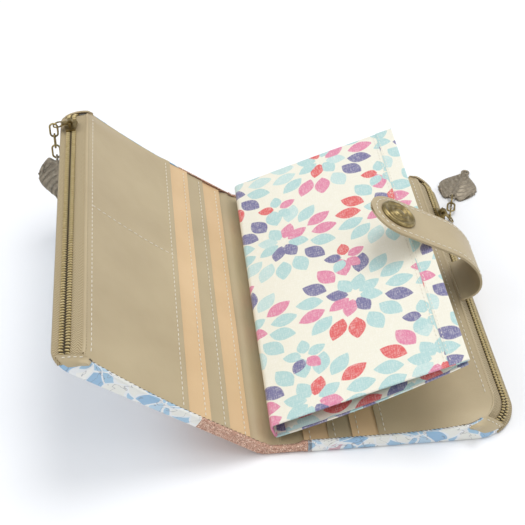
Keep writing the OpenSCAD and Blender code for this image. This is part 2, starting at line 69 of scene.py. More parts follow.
def lamp(name, place, aim, size, watts):
    data = bpy.data.lights.new(name, "AREA")
    data.shape = "DISK"
    data.size = size
    data.energy = watts
    light = bpy.data.objects.new(name, data)
    light.location = place
    light.rotation_euler = (Vector(aim) - Vector(place)).to_track_quat("-Z", "Y").to_euler()
    bpy.context.scene.collection.objects.link(light)


lamp("overhead", (0.2, 0.3, 1.2), (-0.03, 0, 0), 0.8, 7.2)
lamp("left_window", (-1.0, -0.1, 0.8), (-0.03, 0, 0.03), 0.8, 4.4)
lamp("right_fill", (0.9, -0.5, 0.8), (0, 0, 0.03), 0.8, 2.9)

world = bpy.data.worlds.new("studio")
bpy.context.scene.world = world
world.use_nodes = True
sky = world.node_tree
sky_light = sky.nodes["Background"]
sky_light.inputs["Color"].default_value = (0.95, 0.97, 1.0, 1)
sky_light.inputs["Strength"].default_value = 0.55
sky_seen = sky.nodes.new("ShaderNodeBackground")
sky_seen.inputs["Color"].default_value = (1, 1, 1, 1)
sky_seen.inputs["Strength"].default_value = 1
sky_path = sky.nodes.new("ShaderNodeLightPath")
sky_mix = sky.nodes.new("ShaderNodeMixShader")
sky_rays = sky.nodes.new("ShaderNodeMath")
sky_rays.operation = "MAXIMUM"
sky.links.new(sky_path.outputs["Is Camera Ray"], sky_rays.inputs[0])
sky.links.new(sky_path.outputs["Is Transmission Ray"], sky_rays.inputs[1])
sky.links.new(sky_rays.outputs[0], sky_mix.inputs[0])
sky.links.new(sky_light.outputs[0], sky_mix.inputs[1])
sky.links.new(sky_seen.outputs[0], sky_mix.inputs[2])
sky.links.new(sky_mix.outputs[0], sky.nodes["World Output"].inputs[0])

table_mesh = bmesh.new()
bmesh.ops.create_grid(table_mesh, x_segments=1, y_segments=1, size=3)
table_data = bpy.data.meshes.new("table_top")
table_mesh.to_mesh(table_data)
table_top = bpy.data.objects.new("table_top", table_data)
bpy.context.scene.collection.objects.link(table_top)
table_finish = bpy.data.materials.new("white_table")
table_finish.use_nodes = True
table_finish.node_tree.nodes["Principled BSDF"].inputs["Base Color"].default_value = (0.93, 0.935, 0.95, 1)
table_finish.node_tree.nodes["Principled BSDF"].inputs["Roughness"].default_value = 0.9
table_data.materials.append(table_finish)


# Outer cloth of the two covers: laminated cotton with a pale blue and cream print, glued to
# the board and turned up round its edge; a band of rose glitter cloth runs beside the spine.
SIDES = ("left", "right")
FOLD = {"left": -0.06425, "right": -0.04775}
WIDTH = {"left": 0.1005, "right": 0.0955}
LEAN = {"left": radians(35.6), "right": 0.0}
NEAR_CORNER = {"left": 0.008, "right": 0.020}
FAR_CORNER = 0.008
INNER_Z = 0.005
COVER_T = 0.005
HALF = 0.095
HEM = 0.0006
ROLL = 0.0016
GLITTER_TO = {"left": 0.0337, "right": 0.005}


class Finish:
    """A material under construction, with its slot in the part: a shader and the nodes that feed it."""

    def __init__(self, name, slot, roughness, **sockets):
        self.slot = slot
        self.material = bpy.data.materials.new(name)
        self.material.use_nodes = True
        self.tree = self.material.node_tree
        self.shader = self.tree.nodes["Principled BSDF"]
        self.shader.inputs["Roughness"].default_value = roughness
        for socket, value in sockets.items():
            self.shader.inputs[socket.replace("_", " ")].default_value = value
        self.place = self.add("ShaderNodeTexCoord").outputs["Object"]

    def add(self, kind, inputs=None, **settings):
        node = self.tree.nodes.new(kind)
        for key, value in settings.items():
            setattr(node, key, value)
        for key, value in (inputs or {}).items():
            self.feed(node.inputs[key], value)
        return node

    def feed(self, socket, value):
        if isinstance(value, bpy.types.NodeSocket):
            self.tree.links.new(value, socket)
        else:
            socket.default_value = value

    def maths(self, operation, *values):
        return self.add("ShaderNodeMath", dict(enumerate(values)), operation=operation).outputs[0]

    def noise(self, scale, detail=2.0, place=None):
        inputs = {"Vector": place or self.place, "Scale": scale, "Detail": detail}
        return self.add("ShaderNodeTexNoise", inputs).outputs[0]

    def cells(self, scale, output, place=None, **settings):
        inputs = {"Vector": place or self.place, "Scale": scale}
        return self.add("ShaderNodeTexVoronoi", inputs, **settings).outputs[output]

    def stretched(self, scale, place=None):
        return self.add("ShaderNodeMapping", {"Vector": place or self.place, "Scale": scale}).outputs[0]

    def ramp(self, factor, stops, interpolation="LINEAR"):
        node = self.add("ShaderNodeValToRGB", {"Fac": factor})
        node.color_ramp.interpolation = interpolation
        while len(node.color_ramp.elements) < len(stops):
            node.color_ramp.elements.new(0.5)
        for element, (at, colour) in zip(node.color_ramp.elements, stops):
            element.position = at
            element.color = colour
        return node.outputs[0]

    def mix(self, factor, a, b, blend="MIX"):
        node = self.add("ShaderNodeMix", data_type="RGBA", blend_type=blend)
        for index, value in ((0, factor), (6, a), (7, b)):
            self.feed(node.inputs[index], value)
        return node.outputs[2]

    def paint(self, colour):
        self.feed(self.shader.inputs["Base Color"], colour)
        return self

    def tones(self, factor, *stops):
        """Colours as they are seen, each from its share of the factor."""
        return self.paint(self.ramp(factor, [(at, tint(*colour)) for at, colour in stops]))

    def mottled(self, scale, detail, dark, light):
        """Two tones in soft patches of noise."""
        return self.tones(self.noise(scale, detail), (0.3, dark), (0.7, light))

    def rough(self, low, high, factor):
        node = self.add("ShaderNodeMapRange", {"Value": factor, "To Min": low, "To Max": high})
        self.feed(self.shader.inputs["Roughness"], node.outputs[0])
        return self

    def raise_by(self, height, depth, strength=1.0):
        bump = self.add("ShaderNodeBump", {"Height": height, "Distance": depth, "Strength": strength})
        before = self.shader.inputs["Normal"].links
        if before:
            self.feed(bump.inputs["Normal"], before[0].from_socket)
        self.feed(self.shader.inputs["Normal"], bump.outputs[0])
        return self

    def laid(self):
        """Metres across and along the cloth, from the piece's own UV map."""
        return self.add("ShaderNodeUVMap", uv_map="cloth").outputs[0]


def tint(red, green, blue):
    """A colour as it is seen, 0 to 255, as the shader's linear value."""
    parts = [c / 255 for c in (red, green, blue)]
    return tuple(c / 12.92 if c <= 0.04045 else ((c + 0.055) / 1.055) ** 2.4 for c in parts) + (1,)


def woven(finish, pitch, depth):
    """Crossed threads at a given pitch."""
    laid = finish.add("ShaderNodeSeparateXYZ", {0: finish.laid()})
    turns = 2 * pi / pitch
    warp = finish.maths("SINE", finish.maths("MULTIPLY", laid.outputs[0], turns))
    weft = finish.maths("SINE", finish.maths("MULTIPLY", laid.outputs[1], turns))
    finish.raise_by(finish.maths("MULTIPLY", warp, weft), depth)


blossom_cloth = Finish("blossom_cloth", "printed_cloth", 0.38, Coat_Weight=0.35, Coat_Roughness=0.25)
blossom_at = blossom_cloth.laid()
blossom_bend = blossom_cloth.add("ShaderNodeTexNoise", {"Vector": blossom_at, "Scale": 60.0, "Detail": 1.0})
blossom_place = blossom_cloth.mix(0.012, blossom_at, blossom_bend.outputs["Color"], "ADD")
blossom_patch = blossom_cloth.cells(135.0, "Color", blossom_place)
blossom_edge = blossom_cloth.cells(135.0, "Distance", blossom_place, feature="DISTANCE_TO_EDGE")
blossom_pick = blossom_cloth.add("ShaderNodeSeparateColor", {0: blossom_patch}).outputs[0]
blossom_colour = blossom_cloth.ramp(blossom_pick, [
    (0.0, tint(168, 204, 228)), (0.30, tint(240, 240, 232)), (0.44, tint(190, 216, 234)),
    (0.64, tint(247, 246, 240)), (0.76, tint(154, 192, 222)), (0.88, tint(214, 176, 184)),
    (0.95, tint(138, 144, 160))], "CONSTANT")
blossom_line = blossom_cloth.ramp(blossom_edge, [
    (0.0, (1, 1, 1, 1)), (0.04, (1, 1, 1, 1)), (0.07, (0, 0, 0, 1))])
blossom_base = blossom_cloth.mix(blossom_line, blossom_colour, tint(240, 242, 242))
blossom_vein = blossom_cloth.noise(150.0, 2.0, blossom_place)
blossom_stroke = blossom_cloth.ramp(blossom_vein, [(0.485, (0, 0, 0, 1)), (0.495, (0.5, 0.5, 0.5, 1)),
                                                   (0.505, (0.5, 0.5, 0.5, 1)), (0.515, (0, 0, 0, 1))])
blossom_cloth.paint(blossom_cloth.mix(blossom_stroke, blossom_base, tint(112, 112, 128)))
woven(blossom_cloth, 0.0006, 0.00004)

glitter_cloth = Finish("rose_glitter_cloth", "glitter_cloth", 0.5, Metallic=0.25)
glitter_fleck = glitter_cloth.cells(2600.0, "Color")
glitter_pick = glitter_cloth.add("ShaderNodeSeparateColor", {0: glitter_fleck}).outputs[0]
glitter_cloth.tones(glitter_pick, (0.0, (160, 116, 98)), (0.35, (192, 148, 126)), (0.75, (206, 164, 142)),
                    (0.93, (240, 214, 192)))
glitter_cloth.rough(0.25, 0.7, glitter_pick)
glitter_cloth.raise_by(glitter_pick, 0.00012)


def on_cover(side, s, y, h):
    """The point s from the fold, y along it and h above the cover's inner plane."""
    if side == "right":
        return Vector((FOLD[side] + s, y, INNER_Z + h))
    run, rise = cos(LEAN[side]), sin(LEAN[side])
    return Vector((FOLD[side] - s * run + h * rise, y, INNER_Z + s * rise + h * run))


def corner_radius(side, y):
    return NEAR_CORNER[side] if y < 0 else FAR_CORNER


def formed(columns, rows, place, up=None, closed=False):
    """A flat grid bent into shape. place gives the point for each share across and along,
    with its metres on the cloth; up is a point on the side that its faces look to."""
    mesh = bmesh.new()
    bmesh.ops.create_grid(mesh, x_segments=columns, y_segments=rows, size=0.5)
    across = mesh.loops.layers.uv.new("cloth")
    found = {v: place(v.co.x + 0.5, v.co.y + 0.5) for v in mesh.verts}
    for face in mesh.faces:
        for loop in face.loops:
            loop[across].uv = found[loop.vert][1]
    for vert, (point, _) in found.items():
        vert.co = point
    if closed:
        bmesh.ops.remove_doubles(mesh, verts=mesh.verts, dist=1e-6)
        bmesh.ops.recalc_face_normals(mesh, faces=mesh.faces)
    mesh.normal_update()
    if up is not None:
        facing = sum((f.normal.dot(Vector(up) - f.calc_center_median()) > 0 or -1) * f.calc_area()
                     for f in mesh.faces)
        if facing < 0:
            bmesh.ops.reverse_faces(mesh, faces=mesh.faces)
    return mesh


def finished(name, mesh, finish, body, stands_for=(), thick=0.0, rounded=0.0, even=True, slot=None):
    """Turns a mesh into a named piece with its wall and rounded edges; given one body by name it moves with
    that body, and given two bodies it stays where it is.
    """
    data = bpy.data.meshes.new(name)
    mesh.to_mesh(data)
    mesh.free()
    data.polygons.foreach_set("use_smooth", [True] * len(data.polygons))
    piece = bpy.data.objects.new(name, data)
    bpy.context.scene.collection.objects.link(piece)
    data.materials.append(finish.material)
    if thick:
        wall = piece.modifiers.new("wall", "SOLIDIFY")
        wall.thickness = thick
        wall.offset = -1
        wall.use_even_offset = even
    if rounded:
        edge = piece.modifiers.new("rounded", "BEVEL")
        edge.width = rounded
        edge.segments = 2
        edge.limit_method = "ANGLE"
        edge.angle_limit = radians(50)
    if isinstance(body, str):
        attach(piece, body)
    else:
        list(body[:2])
        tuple(body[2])
        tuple(body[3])
        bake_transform(piece)
    slot or finish.slot
    if stands_for:
        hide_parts(*stands_for)
    return piece


def past_outline(side, s, y):
    """How far a point lies past the cover's outline, and the way out from there."""
    radius = corner_radius(side, y)
    a = s - (WIDTH[side] - radius)
    b = abs(y) - (HALF - radius)
    if a > 0 and b > 0:
        reach = hypot(a, b)
        return reach - radius, a / reach, copysign(b / reach, y)
    if a > b:
        return a - radius, 1.0, 0.0
    return b - radius, 0.0, copysign(1.0, y)


def turned_up(side, s, y):
    """A point of the flat cut, wrapped round the cover's edge."""
    past, way_s, way_y = past_outline(side, s, y)
    past += ROLL
    if past <= 0:
        return on_cover(side, s, y, -COVER_T)
    turn = min(past / ROLL, pi / 2)
    up = max(0.0, past - ROLL * pi / 2)
    reach = ROLL * sin(turn) - past
    return on_cover(side, s + way_s * reach, y + way_y * reach, -COVER_T + ROLL * (1 - cos(turn)) + up)


WALL_TOP = 0.0040
TURN_IN = ROLL * (pi / 2 - 1) + COVER_T - WALL_TOP - ROLL


def outer_cloth(side, first, last, columns, finish, piece_name, node):
    to_edge = last is None
    far_s = WIDTH[side] + TURN_IN if to_edge else last

    def place(u, v):
        s = first + (far_s - first) * (sin(u * pi / 2) if to_edge else u)
        v = sin((v - 0.5) * pi)
        radius = corner_radius(side, v) + TURN_IN
        past = max(0.0, s - far_s + radius) if to_edge else 0.0
        y = v * (HALF + TURN_IN - radius + sqrt(max(0.0, radius * radius - past * past)))
        return turned_up(side, s, y), (s, y)

    outside = on_cover(side, 0.05, 0, -1)
    mesh = formed(columns, 64, place, outside)
    return finished(piece_name, mesh, finish, f"{side}_cover", [node], thick=0.0008)


for side in SIDES:
    outer_cloth(side, GLITTER_TO[side] - 0.0002, None, 60, blossom_cloth,
                                    f"{side}_cover_cloth", f"{side}_outer_cloth")
    outer_cloth(side, 0.0003, GLITTER_TO[side], 12, glitter_cloth,
                                     f"{side}_glitter_band", f"{side}_glitter_cloth")


# Stiffening boards, linings and the spine's hidden layers keep their plain shapes:
# grey board, die-cut, and a plain woven lining behind the card slots.
board_finish = Finish("grey_board", "board", 0.85)
board_finish.mottled(900.0, 4.0, (196, 190, 178), (216, 211, 202))
board_finish.raise_by(board_finish.noise(2500.0, 3.0), 0.00005)
lining_finish = Finish("slot_lining", "lining", 0.8)
lining_finish.mottled(1500.0, 2.0, (146, 130, 104), (170, 154, 127))
lining_finish.raise_by(lining_finish.noise(3000.0, 1.0), 0.00006)


def refinish(node, finish):
    shown = frame["nodes"][node]
    shown.data.materials.clear()
    shown.data.materials.append(finish.material)


for side in SIDES:
    refinish(f"{side}_board", board_finish)
    refinish(f"{side}_pocket_lining", lining_finish)


# Leather card-slot strips and the large panel: three strips of smooth synthetic leather step
# back from the fold, each with a turned, topstitched edge, and the panel covers the rest.
FIRST_EDGE = {"left": 0.0059, "right": 0.0009}
EDGE_STEPS = (0.0, 0.0108, 0.0209, 0.0323)
SLOT_DEPTH = 0.054
STRIP_T = 0.00045
RIM_RISE = 0.0055
FACE_W = 0.009
INNER_LESS = 0.004
CROWN_FROM = 0.04
FADE = 0.009
END_SHARE = 0.75


def leather(name, light, dark):
    finish = Finish(name, name, 0.48, Sheen_Weight=0.08)
    finish.mottled(28.0, 3.0, dark, light)
    grain = finish.cells(1500.0, "Distance", feature="SMOOTH_F1")
    finish.raise_by(grain, 0.00006, 0.7)
    finish.raise_by(finish.noise(110.0, 3.0), 0.00035, 0.5)
    finish.rough(0.4, 0.58, finish.noise(160.0, 3.0))
    return finish


taupe_leather = leather("taupe_leather", (190, 173, 138), (178, 160, 126))
peach_leather = leather("peach_leather", (223, 191, 147), (212, 179, 134))


def out_s(side):
    return WIDTH[side] - HEM


def rim_s(side):
    return out_s(side) - FACE_W


def smooth_share(v):
    v = max(0.0, min(1.0, v))
    return v * v * (3 - 2 * v)


def crown(side, s, y):
    """Height of the padded inner side over its plane: it rises towards the zip."""
    rise = max(0.0, min(1.0, (s - CROWN_FROM) / (rim_s(side) - CROWN_FROM))) ** 1.6
    fade = 1 - (1 - END_SHARE) * smooth_share((abs(y) - (HALF - HEM) + FADE) / FADE)
    return RIM_RISE * rise * fade


def on_panel(side, s, y, above):
    """The point above the padded inner side."""
    return on_cover(side, s, y, crown(side, s, y) + above)


def slot_edge(side, k):
    return FIRST_EDGE[side] + EDGE_STEPS[k - 1]


def inner_half(side, s, y):
    """Half the panel's length at s, with its corners rounded at the rim."""
    radius = corner_radius(side, y) - INNER_LESS
    past = max(0.0, s - rim_s(side) + radius)
    return HALF - HEM - radius + sqrt(max(0.0, radius * radius - past * past))


def slot_strip(side, k, finish):
    first = slot_edge(side, k)
    last = min(first + SLOT_DEPTH, rim_s(side) - 0.002)
    top = -4 * STRIP_T + k * STRIP_T

    def place(u, v):
        s = first + (last - first) * u * u
        y = (2 * v - 1) * inner_half(side, s, v - 0.5)
        ripple = 0.6 + 0.4 * sin(y * 60 + k * 2 + (side == "left"))
        lift = 0.0003 * exp(-((s - first) / 0.004) ** 2) * ripple
        return on_panel(side, s, y, top + lift), (s, y)

    mesh = formed(20, 60, place, on_cover(side, 0.05, 0, 1))
    strip = finished(f"{side}_card_strip_{k}", mesh, finish, f"{side}_cover", [f"{side}_slot_strip_{k}"],
                     thick=0.0009 - 0.0001 * k, rounded=0.00035)


def large_panel(side):
    first = slot_edge(side, 4)
    last = rim_s(side)

    def place(u, v):
        tuck = max(0.0, u - 0.94) / 0.06
        across = min(1.0, u / 0.94)
        s = first + (last - first) * (0.5 * across + 0.5 * sin(across * pi / 2))
        v = sin((v - 0.5) * pi)
        y = v * inner_half(side, s, v)
        h = crown(side, s, y) + 0.0003 * exp(-((s - first) / 0.004) ** 2)
        s, h = s + 0.0007 * sin(tuck * pi / 2), h - 0.0016 * tuck * tuck
        return on_cover(side, s, y, h), (s, y)

    mesh = formed(60, 64, place, on_cover(side, 0.05, 0, 1))
    panel = finished(f"{side}_large_panel", mesh, taupe_leather, f"{side}_cover", [f"{side}_slot_panel"],
                     thick=0.0006, rounded=0.00025)


for side in SIDES:
    for k, finish in ((1, peach_leather), (2, taupe_leather), (3, peach_leather)):
        slot_strip(side, k, finish)
    large_panel(side)


# Topstitching of the strips and panels: cream thread, about eight stitches to the inch,
# each a short rounded length that dips into the leather at its ends.
cream_thread = Finish("cream_thread", "taupe_leather", 0.6, Sheen_Weight=0.2)
cream_thread.mottled(4000.0, 2.0, (214, 206, 186), (244, 240, 228))
cream_thread.raise_by(cream_thread.noise(6000.0, 1.0), 0.00004)


def stitches(mesh, line, pitch=0.0031, length=0.0023, width=0.00045):
    """One short thread after another along a line of points."""
    walked = [0.0]
    for a, b in zip(line, line[1:]):
        walked.append(walked[-1] + (b - a).length)
    at = pitch / 2
    part = 0
    while at < walked[-1]:
        while walked[part + 1] < at:
            part += 1
        way = (line[part + 1] - line[part]).normalized()
        point = line[part] + way * (at - walked[part])
        turn = way.to_track_quat("X", "Z").to_matrix().to_4x4()
        shape = Matrix.Diagonal((length / 2, width / 2, width / 2.4, 1))
        bmesh.ops.create_uvsphere(mesh, u_segments=6, v_segments=5, radius=1,
                                  matrix=Matrix.Translation(point) @ turn @ shape)
        at += pitch


def along_y(side, s, above, inset=0.003, count=80):
    ends = HALF - HEM - inset
    ys = [-ends + 2 * ends * i / count for i in range(count + 1)]
    return [on_panel(side, s, y, above) for y in ys]


DIVIDER_Y = {"left": 0.012, "right": 0.0}
for side in SIDES:
    mesh = bmesh.new()
    for k in (1, 2, 3):
        stitches(mesh, along_y(side, slot_edge(side, k) + 0.0028, -4 * STRIP_T + k * STRIP_T + 0.0003))
    stitches(mesh, along_y(side, slot_edge(side, 4) + 0.0028, 0.0003))
    rim_stitch = rim_s(side) - 0.003
    low, high = -HALF + NEAR_CORNER[side] - 0.002, HALF - FAR_CORNER + 0.002
    rim_ys = [low + (high - low) * i / 60 for i in range(61)]
    stitches(mesh, [on_panel(side, rim_stitch, y, 0.0001) for y in rim_ys])
    from_s, to_s = slot_edge(side, 4) + 0.001, rim_s(side) - 0.001
    across = [from_s + (to_s - from_s) * i / 30 for i in range(31)]
    stitches(mesh, [on_panel(side, s, DIVIDER_Y[side], 0.0001) for s in across])
    finished(f"{side}_topstitching", mesh, cream_thread, f"{side}_cover")


# Turned edge at the two short ends of each cover: the outer cloth comes up the wall and laps
# a little over the panel, overcast with thread along the line where they meet.
LAP = 0.0014
LAP_AT = {-1: LAP, 1: 0.0003}
EDGE_ROLL = 0.0009
dark_thread = Finish("dark_thread", "printed_cloth", 0.7)
dark_thread.mottled(4000.0, 2.0, (70, 60, 46), (104, 92, 70))


def corner_station(side, end, angle):
    """Outer edge, rim and way out at an angle round a corner, from across the cover to along it."""
    radius = corner_radius(side, end)
    inner = radius - INNER_LESS
    out, up = cos(angle), sin(angle)
    return ((out_s(side) - radius + radius * out, end * (HALF - HEM - radius + radius * up)),
            (rim_s(side) - inner + inner * out, end * (HALF - HEM - inner + inner * up)), (out, end * up))


def end_stations(side, end):
    """Outer and inner edge points and the way out, from the fold round to the zip's end."""
    radius = corner_radius(side, end)
    straight = out_s(side) - radius
    inner_straight = rim_s(side) - radius + INNER_LESS
    found = []
    for i in range(41):
        s = 0.0003 + (straight - 0.0003) * i / 40
        found.append(((s, end * (HALF - HEM)), (min(s, inner_straight), end * (HALF - HEM)), (0.0, end)))
    return found + [corner_station(side, end, radians(90 - 34 * i / 8)) for i in range(1, 9)]


def turned_edge(side, end, first, last, finish, name, stands_for):
    stations = [st for st in end_stations(side, end) if first <= st[0][0] <= last]
    low = -WALL_TOP - 0.0004
    wall = HEM + 0.00005

    def place(u, v):
        (os, oy), (is_, iy), (ns, ny) = stations[min(len(stations) - 1, round(u * (len(stations) - 1)))]
        top = crown(side, is_, iy) + (0.0006 if end < 0 else 0.0001)
        if v < 0.5:
            share = v / 0.5
            f = share ** 1.5
            s, y = os + (is_ - os) * f, oy + (iy - oy) * f
            bulge = HEM + 0.00012 * sin(share * pi) + 0.00005
            point = on_cover(side, s + ns * bulge, y + ny * bulge, low + (top - EDGE_ROLL - low) * share)
        elif v < 0.8:
            turn = (v - 0.5) / 0.3 * pi / 2
            reach = wall - EDGE_ROLL * (1 - cos(turn))
            point = on_cover(side, is_ + ns * reach, iy + ny * reach, top - EDGE_ROLL * (1 - sin(turn)))
        else:
            share = (v - 0.8) / 0.2
            reach = wall - EDGE_ROLL - LAP_AT[end] * share
            point = on_cover(side, is_ + ns * reach, iy + ny * reach, top - 0.00035 * share)
        return point, (os, oy + end * v * 0.012)

    mesh = formed(len(stations) - 1, 20, place, on_cover(side, 0.05, end * 1.0, 0.1))
    return finished(name, mesh, finish, f"{side}_cover", stands_for, thick=0.0005, rounded=0.0002)


def overcast(mesh, side, end):
    """Slanted stitches over the lap's free edge."""
    line = [(i, n, crown(side, *i) + 0.0004) for _, i, n in end_stations(side, end)]
    inner, outer = ([on_cover(side, i[0] + n[0] * reach, i[1] + n[1] * reach, top) for i, n, top in line]
                    for reach in (-0.0017, -0.0009))
    for a, b in zip(inner, outer[1:]):
        stitches(mesh, [a, b], pitch=(b - a).length, length=0.0018, width=0.0003)


GLITTER_EDGES = {}
for side in SIDES:
    GLITTER_EDGES[side] = []
    for end, word in ((-1, "near"), (1, "far")):
        turned_edge(side, end, GLITTER_TO[side] - 0.003, 1.0, blossom_cloth,
                                       f"{side}_{word}_edge", [f"{side}_edge_binding"])
        GLITTER_EDGES[side].append(turned_edge(side, end, 0.0, GLITTER_TO[side], glitter_cloth,
                                               f"{side}_{word}_glitter_edge", []))
    mesh = bmesh.new()
    overcast(mesh, side, -1)
    finished(f"{side}_overcast_stitches", mesh, dark_thread, f"{side}_cover")


# Spine: rose glitter cloth runs under it from cover to cover and is turned up at both ends;
# inside, one piece of taupe leather crosses it from card slots to card slots. Both bend at the folds.
SPINE_MID = -0.057


def through(points, share):
    """A point on a smooth line through the given points, by share of its length."""
    steps = [0.0]
    for a, b in zip(points, points[1:]):
        steps.append(steps[-1] + dist(a, b))
    at = share * steps[-1]
    k = max(i for i in range(len(points) - 1) if steps[i] <= at + 1e-12)
    t = (at - steps[k]) / (steps[k + 1] - steps[k])
    before = points[max(0, k - 1)]
    after = points[min(len(points) - 1, k + 2)]
    return tuple(0.5 * (2 * p1 + (p2 - p0) * t + (2 * p0 - 5 * p1 + 4 * p2 - p3) * t * t
                        + (3 * p1 - p0 - 3 * p2 + p3) * t * t * t)
                 for p0, p1, p2, p3 in zip(before, points[k], points[k + 1], after)), at


def cover_xz(side, s, h):
    point = on_cover(side, s, 0, h)
    return point.x, point.z


OUTSIDE = {
    "left": [(SPINE_MID, 0.0), (-0.0625, 0.0), (-0.0648, 0.0002), (-0.0662, 0.0006),
             cover_xz("left", 0.0004, -COVER_T)],
    "right": [(SPINE_MID, 0.0), (-0.052, 0.0), (-0.049, 0.0), cover_xz("right", 0.0004, -COVER_T)]}
INSIDE = {
    "left": [(SPINE_MID, 0.0036), (-0.0605, 0.0037), (-0.0625, 0.0043), (-0.0634, 0.0050),
             cover_xz("left", 0.0004, 0.0006)],
    "right": [(SPINE_MID, 0.0036), (-0.0520, 0.0036), (-0.0497, 0.0040), (-0.0483, 0.0047),
              cover_xz("right", 0.0004, 0.0006)]}
FOLD_BLEND = {
    "left": ((-0.0630, 0, 0.0042), (-0.0656, 0, 0.0052)),
    "right": ((-0.0492, 0, 0.0015), (-0.0468, 0, 0.0015))}


def spine_cloth(side):
    wall = 0.0048
    edge = HALF - ROLL
    total = edge + ROLL * pi / 2 + wall + LAP

    def place(u, v):
        (ox, oz), along = through(OUTSIDE[side], u)
        (ix, iz), _ = through(INSIDE[side], u)
        end = copysign(1, v - 0.5)
        cut = abs(2 * v - 1) ** 0.6 * total
        if cut <= edge:
            return Vector((ox, end * cut, oz)), (along, end * cut)
        turn = min((cut - edge) / ROLL, pi / 2)
        share = max(0.0, min(1.0, (cut - edge - ROLL * pi / 2) / wall))
        lap = max(0.0, cut - edge - ROLL * pi / 2 - wall)
        y = edge + ROLL * sin(turn)
        up = ROLL * (1 - cos(turn))
        depth = hypot(ix - ox, iz - oz)
        rise = (up + (depth - up - EDGE_ROLL) * min(1.0, share / 0.75)) / depth
        if share > 0.75:
            roll = (share - 0.75) / 0.25 * pi / 2
            rise = 1 - EDGE_ROLL * (1 - sin(roll)) / depth
            y -= EDGE_ROLL * (1 - cos(roll))
        y -= lap
        point = Vector((ox + (ix - ox) * rise, end * y, oz + (iz - oz) * rise))
        return point, (along, end * cut)

    mesh = formed(14, 150, place, (SPINE_MID, 0, -0.5))
    start, end = FOLD_BLEND[side]
    cloth = finished(f"spine_{side}_cloth", mesh, glitter_cloth, ("spine", f"{side}_cover", start, end),
                     ["spine_cloth", "spine_binding"], thick=0.0005)


LINING_LINE = {
    "left": [(SPINE_MID, 0.0030), (-0.0605, 0.0031), (-0.0628, 0.0037), (-0.0640, 0.0044),
             *(cover_xz("left", s, h) for s, h in ((0.002, -0.0006), (0.0055, -0.0018), (0.010, -0.0019)))],
    "right": [(SPINE_MID, 0.0030), (-0.0525, 0.0030), (-0.0495, 0.0032), (-0.0475, 0.0031),
              (-0.0437, 0.0030)]}


def spine_leather(side):
    def place(u, v):
        (x, z), along = through(LINING_LINE[side], u)
        y = (2 * v - 1) * (HALF - HEM - 0.0002)
        return Vector((x, y, z + 0.00025 * sin(y * 95 + 1) * sin(pi * u))), (along, y)

    mesh = formed(24, 60, place, (SPINE_MID, 0, 0.5))
    start, end = FOLD_BLEND[side]
    lining = finished(f"spine_{side}_leather", mesh, taupe_leather, ("spine", f"{side}_cover", start, end),
                      ["spine_lining"], thick=0.0006)


for side in SIDES:
    spine_cloth(side)
    spine_leather(side)


# Zips: two woven tapes in a herringbone, with two rows of brass-coated coil along the middle.
# They run round the far and near corners and end under folded, stitched leather tabs.
FACE_LOW = 0.0028
FACE_LINE = 0.0122
ROW_GAP = 0.00018
TEETH_MID = 0.69
TAPE_EDGE = 1.04
ZIP_END = 60
TAIL_TURN = 24
TURN_STEP = 4
zip_tape = Finish("herringbone_tape", "zip_tape", 0.8, Sheen_Weight=0.15)
tape_laid = zip_tape.add("ShaderNodeSeparateXYZ", {0: zip_tape.laid()})
tape_fold = zip_tape.maths("PINGPONG", tape_laid.outputs[1], 0.0016)
tape_slant = zip_tape.maths("ADD", tape_laid.outputs[0], tape_fold)
tape_rib = zip_tape.maths("SINE", zip_tape.maths("MULTIPLY", tape_slant, 2 * pi / 0.0011))
tape_height = zip_tape.maths("MULTIPLY_ADD", tape_rib, 0.5, 0.5)
# The tape is coloured darker where its ribs run low: painted shade in the grooves of the herringbone, laid
# over the same ribs' bump.
zip_tape.tones(tape_height, (0.0, (146, 128, 94)), (0.55, (176, 158, 122)), (1.0, (190, 173, 137)))
zip_tape.raise_by(tape_height, 0.00018)
zip_brass = Finish("brass_coil", "zip_teeth", 0.36, Metallic=0.45)
zip_brass.mottled(700.0, 2.0, (190, 170, 118), (216, 198, 150))
# coil_shade is a dark brown finish of painted shade, for the strip seen between and under the coil's teeth.
coil_shade = Finish("coil_shade", "zip_teeth", 0.8)
coil_shade.mottled(900.0, 2.0, (50, 40, 22), (70, 58, 34))


def zip_stations(side):
    """Outer edge, rim and way out along the zip, with the length walked along its teeth."""
    ends = []
    for end in (-1, 1):
        ends.append([corner_station(side, end, radians(angle))
                     for angle in range(0, ZIP_END + TAIL_TURN + 1, TURN_STEP)])
    low, high = ends[0][0][0][1], ends[1][0][0][1]
    ys = [low + (high - low) * i / 40 for i in range(1, 40)]
    straight = [((out_s(side), y), (rim_s(side), y), (1.0, 0.0)) for y in ys]
    line = ends[0][::-1] + straight + ends[1]
    walked = [0.0]
    middles = [tuple(i[k] + TEETH_MID * (o[k] - i[k]) for k in (0, 1)) for o, i, _ in line]
    for a, b in zip(middles, middles[1:]):
        walked.append(walked[-1] + dist(a, b))
    return line, walked


ZIP_LINES = {side: zip_stations(side) for side in SIDES}
ZIP_LENGTH = {side: walked[-1] for side, (_, walked) in ZIP_LINES.items()}
TAIL_STEPS = TAIL_TURN // TURN_STEP
ZIP_TAIL = {side: (walked[TAIL_STEPS], walked[-1] - walked[-1 - TAIL_STEPS])
            for side, (_, walked) in ZIP_LINES.items()}


def zip_station(side, at):
    """Outer edge, rim and way out at a length along the zip."""
    line, walked = ZIP_LINES[side]
    k = max(0, min(len(line) - 2, bisect.bisect_right(walked, at) - 1))
    t = (at - walked[k]) / (walked[k + 1] - walked[k])
    return [tuple(a + (b - a) * t for a, b in zip(p, q)) for p, q in zip(line[k], line[k + 1])]


def on_zip_face(side, at, f, d):
    """The point at a length along the zip, f from rim to outer edge, d out of the face."""
    o, i, n = zip_station(side, at)
    top = crown(side, *i)
    reach = dist(o, i)
    slope = atan2(top + FACE_LOW, reach)
    s, y = (i[c] + f * (o[c] - i[c]) + n[c] * d * sin(slope) for c in (0, 1))
    return on_cover(side, s, y, top + f * (-FACE_LOW - top) + d * cos(slope))


